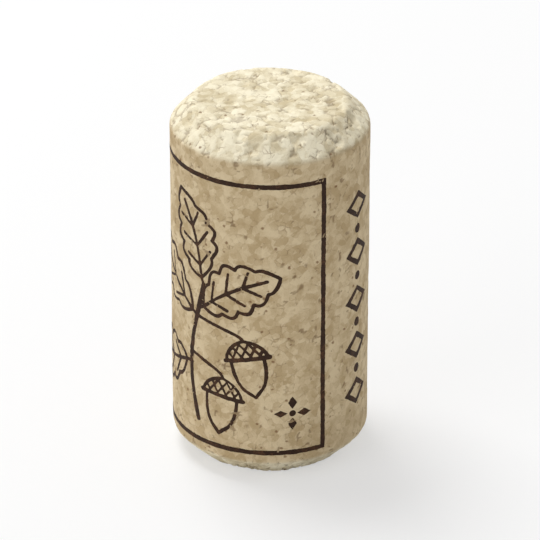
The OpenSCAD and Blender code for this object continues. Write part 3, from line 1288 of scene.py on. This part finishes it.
    def acorn(self, drawing: Drawing, place: Points, angle: float, grows: Points) -> None:
        """An acorn: a hatched cup, a nut with a tip, and the bent stalk that it hangs on.

        Half the cup's width is the sine of a quarter turn times t, to a power, at a share t of its
        height. Half the nut's is 1 less t to one power, all to another, at a share t of its length.
        The stalk is a parabola.

        Args:
            drawing: what it is drawn on.
            place: the top of its cup.
            angle: how far it turns clockwise, in degrees.
            grows: where on the twig its stalk starts.
        """
        half = self.nut_width / 2.0 + self.cup_rim
        t = spaced(steps=24, start=-1.0)
        dome = np.sign(t) * half * np.sin(math.pi / 2.0 * np.abs(t)) ** self.cup_swell
        cup = turned(flat_points(dome, -self.cup_height * np.abs(t)), place, angle)
        drawing.line(cup, self.stroke)
        ends = np.array([-1.0, 1.0]) * (half + self.stroke / 2.0)
        rim = turned(flat_points(ends, -self.cup_height), place, angle)
        drawing.line(rim, self.stroke * self.rim_width)
        t = spaced(steps=11, end=self.nut_end)
        side = self.nut_width / 2.0 * (1.0 - t ** self.nut_swell[0]) ** self.nut_swell[1]
        down = -self.cup_height - self.nut_length * t
        tip = [(0.0, -self.cup_height - self.nut_length - self.nut_point)]
        nut = np.concatenate([flat_points(side, down), tip, flat_points(-side, down)[::-1]])
        drawing.line(turned(nut, place, angle), self.stroke)
        t = spaced(steps=8)
        reach = grows - place
        drawing.line(place + flat_points(reach[0] * t * t, reach[1] * t), self.stroke)
        lean = self.cup_height * self.hatch_lean
        ends = np.array([self.hatch_past, -self.cup_height - self.hatch_past])
        for k, hand in product(range(-self.hatch_count, self.hatch_count + 1), (-1.0, 1.0)):
            hatch = flat_points(self.hatch_pitch * k + np.array([hand, -hand]) * lean, ends)
            drawing.line(turned(hatch, place, angle), self.stroke * self.hatch_width, within=cup)

    def draw(self, drawing: Drawing) -> None:
        """The twig, and then its leaves and acorns from the tip down.

        Args:
            drawing: what it is drawn on.
        """
        drawing.line(self.twig(spaced(steps=16)), self.stroke * self.twig_width)
        self.leaf(drawing, self.twig(1.0), angle=-20.0, length=self.short_leaf, bend=1)
        self.leaf(drawing, self.twig(0.82), angle=62.0, length=self.short_leaf, bend=-1)
        self.leaf(drawing, self.twig(0.76), angle=-64.0, length=self.long_leaf, bend=1)
        self.leaf(drawing, self.twig(0.4), angle=-98.0, length=self.short_leaf, bend=-1)
        high = self.twig(0.66) + (self.high_reach, 0.0)
        self.acorn(drawing, high, angle=-12.0, grows=self.twig(0.76))
        low = self.twig(0.36) + (self.low_reach, 0.0)
        self.acorn(drawing, low, angle=5.0, grows=self.twig(0.48))


@dataclass
class Barrel(Motif):
    """A barrel that stands on a ground line, with a bung in its face.

    Attributes:
        inset: distance of the barrel's middle from the frame's left upright line.
        height: the barrel's height.
        head, belly: its widths at its heads and half way up.
        dip: how far its hoops dip, as if seen a little from above.
        hoop_width: distance between the two lines of a hoop.
        hoops: the hoops' middles, as shares of the height.
        bung: diameter of the bung hole.
        ground_half: half the length of the ground line.
        staves: how many staves its face shows.
    """

    node: ClassVar[Node] = Node.BARREL
    inset: float = 12.9 * MM
    height: float = 17.0 * MM
    head: float = 10.4 * MM
    belly: float = 13.6 * MM
    dip: float = 1.4 * MM
    hoop_width: float = 1.4 * MM
    hoops: tuple[float, ...] = (0.1, 0.3, 0.7, 0.9)
    bung: float = 2.0 * MM
    ground_half: float = 8.4 * MM
    staves: int = 5

    def face(self, t: Numbers, angle: Numbers) -> Points:
        """Places on the barrel's face.

        The half width swells from the heads to the belly by half a sine wave. A hoop goes round the
        face as an ellipse: the half width times the angle's sine across, and the dip times its
        cosine down.

        Args:
            t: share of the height.
            angle: degrees round the barrel from the middle of its face.

        Returns:
            Places on the sheet, shape (n, 2), or (2,) for one place.
        """
        turn = np.radians(angle)
        half = self.head / 2.0 + (self.belly - self.head) / 2.0 * np.sin(math.pi * t)
        x = self.inset - self.layout.edge + half * np.sin(turn)
        y = self.layout.middle + self.height * (t - 0.5) - self.dip * np.cos(turn)
        return flat_points(x, y)

    def draw(self, drawing: Drawing) -> None:
        """The sides, foot, hoops, upper head and bung, the ground, and the seams between staves.

        The outlines of the head and of the bung lie half a stroke inside their true size. The seams
        don't run over the hoops.

        Args:
            drawing: what it is drawn on.
        """
        half_line = self.stroke / 2.0
        for angle in (-90.0, 90.0):
            drawing.line(self.face(spaced(steps=20), angle), self.stroke)
        half_hoop = self.hoop_width / 2.0 / self.height
        lines = [middle + hand * half_hoop for middle in self.hoops for hand in (-1, 1)]
        for share in (0.0, *lines):
            hoop = self.face(share, spaced(steps=20, start=-90.0, end=90.0))
            drawing.line(hoop, self.stroke)
        head = self.face(1.0, spaced(steps=48, end=360.0))
        centre = head[:-1].mean(axis=0)
        half_size = np.ptp(head, axis=0) / 2.0
        drawing.line(centre + (head - centre) * (1.0 - half_line / half_size), self.stroke)
        turn = spaced(steps=24, end=2.0 * math.pi)
        bung = (self.bung / 2.0 - half_line) * flat_points(np.cos(turn), np.sin(turn))
        drawing.line(self.face(0.5, 0.0) + bung, self.stroke)
        ground = self.layout.middle - self.height / 2.0 - self.dip - half_line
        ends = self.inset - self.layout.edge + np.array([-self.ground_half, self.ground_half])
        drawing.line(flat_points(ends, ground), self.stroke)
        bounds = (0.0, *lines, 1.0)
        for k, (low, high) in product(range(1, self.staves), zip(bounds[::2], bounds[1::2])):
            angle = 180.0 * k / self.staves - 90.0
            seam = self.face(spaced(steps=4, start=low, end=high), angle)
            drawing.line(seam, self.stroke * self.fine)


@dataclass
class OrnamentRow(Motif):
    """An upright row of open lozenges with dots between them, in the bare strip.

    Attributes:
        inset: distance of the row from the frame's upright line.
        row_length: its length along the axis.
        count: how many lozenges it has.
        width, height: a lozenge's sizes.
        rim: width of a lozenge's line.
        dot: diameter of the dots.
    """

    node: ClassVar[Node] = Node.ROW
    inset: float = 5.5 * MM
    row_length: float = 28.0 * MM
    count: int = 5
    width: float = 4.8 * MM
    height: float = 3.6 * MM
    rim: float = 0.6 * MM
    dot: float = 1.1 * MM

    def draw(self, drawing: Drawing) -> None:
        """The lozenges evenly spaced from end to end, and a dot half way between each two.

        A hole's sides lie one rim inside its lozenge's. With w and h for the width and the height,
        it is narrower by twice the rim times root(ww + hh) over h, and lower by the same over w.

        Args:
            drawing: what it is drawn on.
        """
        middle = np.array([self.layout.edge + self.inset, self.layout.middle])
        pitch = (self.row_length - self.height) / (self.count - 1)
        less = 2.0 * self.rim * math.hypot(self.width, self.height)
        for k in range(self.count):
            place = middle + (0.0, pitch * (k - (self.count - 1) / 2.0))
            hole = lozenge(place, self.width - less / self.height, self.height - less / self.width)
            drawing.area(lozenge(place, self.width, self.height), hole)
        for k in range(1, self.count):
            drawing.dot(middle + (0.0, pitch * (k - self.count / 2.0)), self.dot)


@dataclass
class CornerMark(Motif):
    """A small dot with four petals, in a corner of the frame.

    Attributes:
        inset, rise: distances of its middle from the frame's upright line and lower line.
        dot: diameter of the dot.
        petal_start, petal_length, petal_width: how far the petals start from the middle, and sizes.
    """

    node: ClassVar[Node] = Node.MARK
    inset: float = 4.1 * MM
    rise: float = 5.2 * MM
    dot: float = 0.8 * MM
    petal_start: float = 0.6 * MM
    petal_length: float = 1.6 * MM
    petal_width: float = 1.0 * MM

    def draw(self, drawing: Drawing) -> None:
        """The dot, and a petal turned to each of the four sides.

        Args:
            drawing: what it is drawn on.
        """
        height = self.layout.low + self.layout.line / 2.0 + self.rise
        place = np.array([self.layout.edge - self.inset, height])
        drawing.dot(place, self.dot)
        petal_middle = np.array([0.0, self.petal_start + self.petal_length / 2.0])
        petal = lozenge(petal_middle, self.petal_width, self.petal_length)
        for angle in (0.0, 90.0, 180.0, 270.0):
            drawing.area(turned(petal, place, angle))


# ---- finishes ----


class Pattern(Enum):
    """The patterns that a finish is mixed from, as numbers from 0 to 1 over the surface."""

    GRANULE = "the tone of each large granule, as the mesh carries it"
    SMALL = "the tone of each small granule"
    BROAD = "slow noise"
    CLOUD = "noise the size of a few granules"
    FINE = "the finest noise"
    SEAM = "dark seams between small granules"
    FLECK = "flecks of bark"


Weights = tuple[tuple[Pattern, float], ...]


def tint(red: int, green: int, blue: int) -> Colour:
    """A colour for the renderer, which takes plain light values.

    Args:
        red, green, blue: its channels from 0 to 255, as the eye sees them.

    Returns:
        The light values, and a full alpha.
    """

    def plain(level: int) -> float:
        """One channel, through the standard display curve."""
        share = level / 255.0
        return share / 12.92 if share <= 0.04045 else ((share + 0.055) / 1.055) ** 2.4

    return plain(red), plain(green), plain(blue), 1.0


class Weave:
    """Builds a material's nodes a step at a time. All methods but add, feed and finish give the
    socket that their nodes end in.

    Attributes:
        material: the material that is built.
        shader: its Principled shader.
        output: the node that its surface goes to.
    """

    def __init__(self, name: str) -> None:
        """Starts an empty material with a Principled shader on its surface.

        Args:
            name: the material's name.
        """
        self.material = bpy.data.materials.new(name)
        self.material.use_nodes = True
        self.material.node_tree.nodes.clear()
        self.shader = self.add("ShaderNodeBsdfPrincipled")
        self.output = self.add("ShaderNodeOutputMaterial")
        self.feed(self.output.inputs["Surface"], self.shader.outputs["BSDF"])

    def add(self, kind: str, *values: Entry, **settings: str) -> bpy.types.Node:
        """A new node.

        Args:
            kind: the node's type.
            values: what its first inputs are fed with, in order.
            settings: its settings, by their names.

        Returns:
            The node.
        """
        node = self.material.node_tree.nodes.new(kind)
        for name, setting in settings.items():
            setattr(node, name, setting)
        for entry, value in zip(node.inputs, values):
            self.feed(entry, value)
        return node

    def feed(self, entry: Socket, value: Entry) -> None:
        """Links a socket to an input, or writes a plain value on it.

        Args:
            entry: the input.
            value: what it gets.
        """
        if isinstance(value, Socket):
            self.material.node_tree.links.new(value, entry)
        else:
            entry.default_value = value

    def place(self) -> Socket:
        """Object coordinates, in metres."""
        return self.add("ShaderNodeTexCoord").outputs["Object"]

    def reading(self, name: str) -> Socket:
        """A number that the mesh carries at its points."""
        return self.add("ShaderNodeAttribute", attribute_name=name).outputs["Fac"]

    def noise(self, place: Socket, size: float, detail: float = 2.0, output: str = "Fac") -> Socket:
        """Noise.

        Args:
            place: where it is read.
            size: about how large its features are.
            detail: how many finer noises are added to it.
            output: Fac for a number, or Color for three.

        Returns:
            The noise, about 0.5.
        """
        node = self.add("ShaderNodeTexNoise")
        self.feed(node.inputs["Vector"], place)
        self.feed(node.inputs["Scale"], 1.0 / size)
        self.feed(node.inputs["Detail"], detail)
        return node.outputs[output]

    def cells(
        self, place: Socket, size: float, feature: str = "F1", output: str = "Distance"
    ) -> Socket:
        """Cellular noise.

        Args:
            place: where it is read.
            size: about how far apart its seeds are.
            feature: F1 for the nearest seed, or DISTANCE_TO_EDGE for the border between two cells.
            output: Distance, as a share of the size, or Color for three random numbers of the cell.

        Returns:
            The distance or the colour.
        """
        node = self.add("ShaderNodeTexVoronoi", feature=feature)
        self.feed(node.inputs["Vector"], place)
        self.feed(node.inputs["Scale"], 1.0 / size)
        return node.outputs[output]

    def sum(self, operation: str, *values: Entry) -> Socket:
        """Arithmetic on numbers, such as MULTIPLY."""
        return self.add("ShaderNodeMath", *values, operation=operation).outputs[0]

    def shift(self, operation: str, *values: Entry) -> Socket:
        """Arithmetic on places, such as SUBTRACT."""
        return self.add("ShaderNodeVectorMath", *values, operation=operation).outputs[0]

    def weighed(self, patterns: dict[Pattern, Socket], weights: Weights) -> Socket:
        """The sum of some patterns, each times its weight.

        Args:
            patterns: the patterns.
            weights: which of them are summed, and their weights.

        Returns:
            The sum.
        """
        total = 0.0
        for pattern, weight in weights:
            total = self.sum("MULTIPLY_ADD", patterns[pattern], weight, total)
        return total

    def channel(self, colour: Socket, name: str) -> Socket:
        """One channel of a colour: Red, Green or Blue."""
        return self.add("ShaderNodeSeparateColor", colour).outputs[name]

    def ease(self, value: Socket, low: float, high: float) -> Socket:
        """A smooth step from 0 at low to 1 at high. It falls where low is above high.

        Args:
            value: the number that is eased.
            low: where the step is 0.
            high: where the step is 1.

        Returns:
            The step, from 0 to 1.
        """
        ends = (low, high, 0.0, 1.0) if low < high else (high, low, 1.0, 0.0)
        node = self.add("ShaderNodeMapRange", value, *ends, interpolation_type="SMOOTHSTEP")
        return node.outputs["Result"]

    def blend(self, share: Socket, first: Entry, second: Entry) -> Socket:
        """A colour between two.

        Args:
            share: 0 for the first colour, and 1 for the second.
            first: the first colour.
            second: the second colour.

        Returns:
            The colour.
        """
        node = self.add("ShaderNodeMix", share, data_type="RGBA")
        entries = {entry.identifier: entry for entry in node.inputs}
        self.feed(entries["A_Color"], first)
        self.feed(entries["B_Color"], second)
        return {result.identifier: result for result in node.outputs}["Result_Color"]

    def pushed(self, place: Socket, size: float, reach: float) -> Socket:
        """Places pushed about by noise, so that a pattern on them isn't regular.

        Args:
            place: the places.
            size: about how large the noise's features are.
            reach: the furthest that a place is pushed along each axis.

        Returns:
            The pushed places.
        """
        push = self.shift("SUBTRACT", self.noise(place, size, output="Color"), (0.5, 0.5, 0.5))
        return self.shift("MULTIPLY_ADD", push, (2.0 * reach, 2.0 * reach, 2.0 * reach), place)

    def bump(self, height: Socket, reach: float, strength: float) -> Socket:
        """A normal bent by a height.

        Args:
            height: the height, from 0 to 1.
            reach: how high 1 is, in metres.
            strength: the share of the bend that is kept.

        Returns:
            The normal.
        """
        node = self.add("ShaderNodeBump")
        self.feed(node.inputs["Strength"], strength)
        self.feed(node.inputs["Distance"], reach)
        self.feed(node.inputs["Height"], height)
        return node.outputs["Normal"]

    def finish(self, **sockets: Entry) -> Material:
        """Sets the shader's inputs.

        Args:
            sockets: what the inputs get, by their names with _ for a space.

        Returns:
            The material.
        """
        for name, value in sockets.items():
            self.feed(self.shader.inputs[name.replace("_", " ")], value)
        return self.material


@dataclass(frozen=True)
class CorkFinish:
    """Ground agglomerated cork: granules of several tones, dark seams, hollows whose darkness is
    partly their own browner colour and partly painted shade, and brown flecks. The cut ends are
    painted paler than the ground side: a little of that is the cut's own colour, and most is
    painted light, as if the ends were lit from above.

    Attributes:
        side_dark, side_light, end_dark_painted_lit, end_light_painted_lit: the colours that the
        tone runs between.
        side_tone, side_levels, end_tone, end_levels: what the tone is mixed from on the side and on
            the ends, and the sums at which it is darkest and lightest.
        warp, warp_size: how far the small granules are pushed about, and over what distance.
        small_size, broad_size, cloud_size, fine_size: sizes of the patterns.
        seam, seam_share: colour of the seams, and how much of it shows.
        seam_levels: where a seam starts and is full, in shares of a small granule from its border.
        seam_patch, seam_patches: size of the patches that have seams, and the noise's levels there.
        fleck, fleck_share: colour of the flecks, and how much of it shows.
        fleck_spacing: how far apart the places for flecks are.
        fleck_warp, fleck_warp_size: how far flecks are pushed out of shape, over what distance.
        fleck_levels: where a fleck starts and is full, in shares of the spacing from its middle.
        fleck_kinds: the random numbers between which a place starts to hold a fleck.
        hollow, hollow_levels: colour of the hollows, partly their own browner inside and partly
            painted shade in the recesses, and how hollow the cork is where it starts and is full.
        hollow_tint_and_shade_side, hollow_tint_and_shade_end: how much of that colour shows on the
        side and on the ends.
        bumps, bump_height, bump_strength: what the fine relief is mixed from, and its size.
        roughness, rougher: the least roughness, and what the finest noise adds to it.
        gloss: how much light the surface mirrors.
    """

    side_dark: Colour = tint(189, 165, 125)
    side_light: Colour = tint(224, 204, 167)
    side_tone: Weights = (
        (Pattern.GRANULE, 0.3), (Pattern.SMALL, 0.34), (Pattern.CLOUD, 0.9), (Pattern.FINE, 0.34),
    )
    side_levels: Levels = (0.6, 1.26)
    # The ends' colours are painted paler than the side's: a little of that is the cut's own colour,
    # and most is painted light, as if the ends were lit from above.
    end_dark_painted_lit: Colour = tint(207, 192, 157)
    end_light_painted_lit: Colour = tint(248, 239, 212)
    end_tone: Weights = (
        (Pattern.GRANULE, 0.3), (Pattern.SMALL, 0.3), (Pattern.BROAD, 0.7), (Pattern.CLOUD, 0.4),
        (Pattern.FINE, 0.36),
    )
    end_levels: Levels = (0.62, 1.32)
    warp: float = 0.22 * MM
    warp_size: float = 0.9 * MM
    small_size: float = 0.75 * MM
    broad_size: float = 6.5 * MM
    cloud_size: float = 3.2 * MM
    fine_size: float = 0.16 * MM
    seam: Colour = tint(142, 112, 76)
    seam_share: float = 0.5
    seam_levels: Levels = (0.11, 0.0)
    seam_patch: float = 1.1 * MM
    seam_patches: Levels = (0.5, 0.72)
    fleck: Colour = tint(122, 86, 52)
    fleck_share: float = 0.75
    fleck_spacing: float = 1.25 * MM
    fleck_warp: float = 0.14 * MM
    fleck_warp_size: float = 0.4 * MM
    fleck_levels: Levels = (0.2, 0.08)
    fleck_kinds: Levels = (0.55, 0.75)
    # Pits, open seams and torn hollows darken to this brown: partly their own colour, partly
    # painted shade in the recesses.
    hollow: Colour = tint(116, 88, 58)
    hollow_levels: Levels = (0.25, 0.95)
    hollow_tint_and_shade_side: float = 0.62
    hollow_tint_and_shade_end: float = 0.42
    bumps: Weights = (
        (Pattern.FINE, 0.75), (Pattern.SMALL, 0.35), (Pattern.SEAM, -0.8), (Pattern.FLECK, -0.5),
    )
    bump_height: float = 0.06 * MM
    bump_strength: float = 0.8
    roughness: float = 0.78
    rougher: float = 0.16
    gloss: float = 0.25

    def patterns(self, web: Weave) -> dict[Pattern, Socket]:
        """Makes the patterns.

        The small granules are cells of cellular noise, and the seams are the borders between them,
        in some patches only. A fleck is the middle of one of a coarser field's cells, where that
        cell's random number is high.

        Args:
            web: the material that they are made in.

        Returns:
            The patterns.
        """
        place = web.place()
        bent = web.pushed(place, self.warp_size, self.warp)
        patch = web.ease(web.noise(place, self.seam_patch), *self.seam_patches)
        border = web.cells(bent, self.small_size, "DISTANCE_TO_EDGE")
        ragged = web.pushed(place, self.fleck_warp_size, self.fleck_warp)
        near = web.cells(ragged, self.fleck_spacing)
        kind = web.channel(web.cells(ragged, self.fleck_spacing, output="Color"), "Green")
        fleck = web.ease(near, *self.fleck_levels)
        return {
            Pattern.GRANULE: web.reading("granule"),
            Pattern.SMALL: web.channel(web.cells(bent, self.small_size, output="Color"), "Red"),
            Pattern.BROAD: web.noise(place, self.broad_size),
            Pattern.CLOUD: web.noise(place, self.cloud_size, detail=3.0),
            Pattern.FINE: web.noise(place, self.fine_size, detail=3.0),
            Pattern.SEAM: web.sum("MULTIPLY", web.ease(border, *self.seam_levels), patch),
            Pattern.FLECK: web.sum("MULTIPLY", fleck, web.ease(kind, *self.fleck_kinds)),
        }

    def colour(self, web: Weave, patterns: dict[Pattern, Socket]) -> Socket:
        """Mixes the colour: side and ends by how much a place is cut, where the ends' paler colour
        is mostly painted light, and then what is darker, where the hollows' darkness is partly
        painted shade.

        Args:
            web: the material that it is mixed in.
            patterns: its patterns.

        Returns:
            The colour.
        """
        cut = web.reading("cut")
        side_tone = web.ease(web.weighed(patterns, self.side_tone), *self.side_levels)
        end_tone = web.ease(web.weighed(patterns, self.end_tone), *self.end_levels)
        side = web.blend(side_tone, self.side_dark, self.side_light)
        end = web.blend(end_tone, self.end_dark_painted_lit, self.end_light_painted_lit)
        # Darkens pits, open seams and torn hollows by their depth: partly their own browner colour,
        # partly painted shade in the recesses.
        hollow = web.ease(web.reading("hollow"), *self.hollow_levels)
        shown = web.sum("MULTIPLY_ADD", cut, self.hollow_tint_and_shade_end - self.hollow_tint_and_shade_side, self.hollow_tint_and_shade_side)
        # Paler ends: mostly painted light, as if lit from above; the cut itself is only a little
        # paler than the side.
        colour = web.blend(cut, side, end)
        for share, pattern, darker in (
            (self.seam_share, patterns[Pattern.SEAM], self.seam),
            (self.fleck_share, patterns[Pattern.FLECK], self.fleck),
            (shown, hollow, self.hollow),
        ):
            colour = web.blend(web.sum("MULTIPLY", pattern, share), colour, darker)
        return colour

    def build(self) -> Material:
        """Makes the material.

        Returns:
            The material, which reads the attributes cut, hollow and granule.
        """
        web = Weave("ground_cork")
        patterns = self.patterns(web)
        return web.finish(
            Base_Color=self.colour(web, patterns),
            Roughness=web.sum("MULTIPLY_ADD", patterns[Pattern.FINE], self.rougher, self.roughness),
            Specular_IOR_Level=self.gloss,
            Normal=web.bump(
                web.weighed(patterns, self.bumps), self.bump_height, self.bump_strength
            ),
        )


@dataclass(frozen=True)
class InkFinish:
    """Dark brown ink that has soaked into cork, thinner and lighter in places.

    Attributes:
        deep, thin: colours where the ink is thick and where it is thin.
        thinness, levels: what the thinness is mixed from, and the sums at which it starts and ends.
        broad_size, fine_size: sizes of the patterns.
        bump_height, bump_strength: size of the fine relief.
        roughness, rougher: the least roughness, and what the finest noise adds to it.
        gloss: how much light the ink mirrors.
    """

    deep: Colour = tint(50, 30, 16)
    thin: Colour = tint(94, 62, 38)
    thinness: Weights = ((Pattern.FINE, 0.5), (Pattern.BROAD, 0.5))
    levels: Levels = (0.44, 0.74)
    broad_size: float = 1.1 * MM
    fine_size: float = 0.16 * MM
    bump_height: float = 0.05 * MM
    bump_strength: float = 0.7
    roughness: float = 0.6
    rougher: float = 0.2
    gloss: float = 0.25

    def build(self) -> Material:
        """Makes the material.

        Returns:
            The material.
        """
        web = Weave("soaked_ink")
        place = web.place()
        fine = web.noise(place, self.fine_size, detail=3.0)
        patterns = {Pattern.FINE: fine, Pattern.BROAD: web.noise(place, self.broad_size)}
        thin = web.ease(web.weighed(patterns, self.thinness), *self.levels)
        return web.finish(
            Base_Color=web.blend(thin, self.deep, self.thin),
            Roughness=web.sum("MULTIPLY_ADD", fine, self.rougher, self.roughness),
            Specular_IOR_Level=self.gloss,
            Normal=web.bump(fine, self.bump_height, self.bump_strength),
        )


@dataclass(frozen=True)
class FloorFinish:
    """Plain white paper that stays white to the camera, and keeps the shadow.

    Attributes:
        paper: its colour.
        roughness: its roughness.
        glow: the share of plain white that the camera sees in place of the lit paper.
    """

    paper: Colour = tint(244, 244, 244)
    roughness: float = 0.9
    glow: float = 0.5

    def build(self) -> Material:
        """Makes the material.

        Returns:
            The material.
        """
        web = Weave("white_paper")
        web.finish(Base_Color=self.paper, Roughness=self.roughness, Specular_IOR_Level=0.0)
        seen = web.add("ShaderNodeLightPath").outputs["Is Camera Ray"]
        share = web.sum("MULTIPLY", seen, self.glow)
        white = web.add("ShaderNodeEmission").outputs[0]
        mixed = web.add("ShaderNodeMixShader", share, web.shader.outputs["BSDF"], white)
        web.feed(web.output.inputs["Surface"], mixed.outputs[0])
        return web.material


# ---- the studio ----


@dataclass(frozen=True)
class Lamp:
    """A square soft lamp.

    Attributes:
        name: its name.
        place: where it hangs, from the cork's middle.
        size: the side of its square.
        power: its power in watts.
    """

    name: str
    place: tuple[float, float, float]
    size: float
    power: float


@dataclass
class Studio:
    """The floor, the lamps, the sky and the camera around the cork.

    Attributes:
        centre: the cork's middle, which the lamps and the camera face.
        floor_half: half the side of the floor.
        sky: brightness of the sky.
        lamps: the lamps.
        elevation, distance: how far up the camera is, in degrees, and how far away.
        view_size: width of what it sees at the cork.
        sensor: width of its sensor in millimetres.
        nearest: how near it starts to see.
    """

    centre: Points
    floor_half: float = 4.0
    sky: float = 0.42
    lamps: tuple[Lamp, ...] = (
        Lamp("key_lamp", place=(-0.16, 0.2, 0.56), size=0.3, power=2.6),
        Lamp("fill_lamp", place=(-0.5, -0.4, 0.3), size=0.5, power=0.9),
    )
    elevation: float = 28.0
    distance: float = 0.5
    view_size: float = 63.0 * MM
    sensor: float = 36.0
    nearest: float = 0.01

    def lay_floor(self) -> None:
        """A square floor that the cork stands on."""
        corners = self.floor_half * np.array([(-1, -1, 0), (1, -1, 0), (1, 1, 0), (-1, 1, 0)])
        halves = np.array([(0, 1, 2), (0, 2, 3)])
        floor = make_piece("floor", corners, halves, FloorFinish().build())

    def hang(self, lamp: Lamp) -> None:
        """Hangs a lamp so that it faces the cork.

        A lamp shines down its own Z axis. Tilting it by the angle between that axis and its place
        makes it shine back at the cork, once it is turned to the place's bearing.

        Args:
            lamp: the lamp.
        """
        light = bpy.data.lights.new(lamp.name, "AREA")
        light.shape = "SQUARE"
        light.size = lamp.size
        light.energy = lamp.power
        piece = bpy.data.objects.new(lamp.name, light)
        bpy.context.scene.collection.objects.link(piece)
        x, y, z = lamp.place
        piece.location = self.centre + lamp.place
        piece.rotation_euler = (math.acos(z / math.hypot(x, y, z)), 0.0, math.atan2(x, -y))

    def light_sky(self) -> None:
        """An even white sky."""
        world = bpy.data.worlds.new("studio")
        bpy.context.scene.world = world
        world.use_nodes = True
        background = next(node for node in world.node_tree.nodes if node.type == "BACKGROUND")
        background.inputs["Color"].default_value = (1.0, 1.0, 1.0, 1.0)
        background.inputs["Strength"].default_value = self.sky

    def place_camera(self) -> None:
        """A long lens that looks down on the cork from in front."""
        camera = bpy.data.objects.new("camera", bpy.data.cameras.new("camera"))
        bpy.context.scene.collection.objects.link(camera)
        bpy.context.scene.camera = camera
        camera.data.sensor_width = self.sensor
        camera.data.lens = self.sensor * self.distance / self.view_size
        camera.data.clip_start = self.nearest
        tilt = math.radians(self.elevation)
        away = np.array([0.0, -math.cos(tilt), math.sin(tilt)])
        camera.location = self.centre + self.distance * away
        camera.rotation_euler = (math.pi / 2.0 - tilt, 0.0, 0.0)

    def build(self) -> None:
        """Sets up the whole studio."""
        self.place_camera()
        self.lay_floor()
        self.light_sky()
        for lamp in self.lamps:
            self.hang(lamp)
        bpy.context.scene.view_settings.view_transform = "Standard"


def main() -> None:
    """Builds the studio, the cork and its print in order."""
    logging.basicConfig(level=logging.INFO, format="%(name)s: %(message)s")
    low, high = (np.array(corner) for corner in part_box(Node.BODY.value))
    frame_low, frame_high = (corner.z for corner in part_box(Node.FRAME.value))
    Studio(centre=(low + high) / 2.0).build()
    cork = CorkBody(radius=(high[0] - low[0]) / 2.0, length=high[2] - low[2])
    cork.build(CorkFinish().build())
    sheet = PrintSheet(cork)
    layout = PrintLayout(radius=cork.radius, low=frame_low, high=frame_high)
    ink = InkFinish().build()
    for motif in (FrameBorder, OakSprig, Barrel, OrnamentRow, CornerMark):
        motif(layout).build(sheet, ink)


if __name__ == "__main__":
    main()
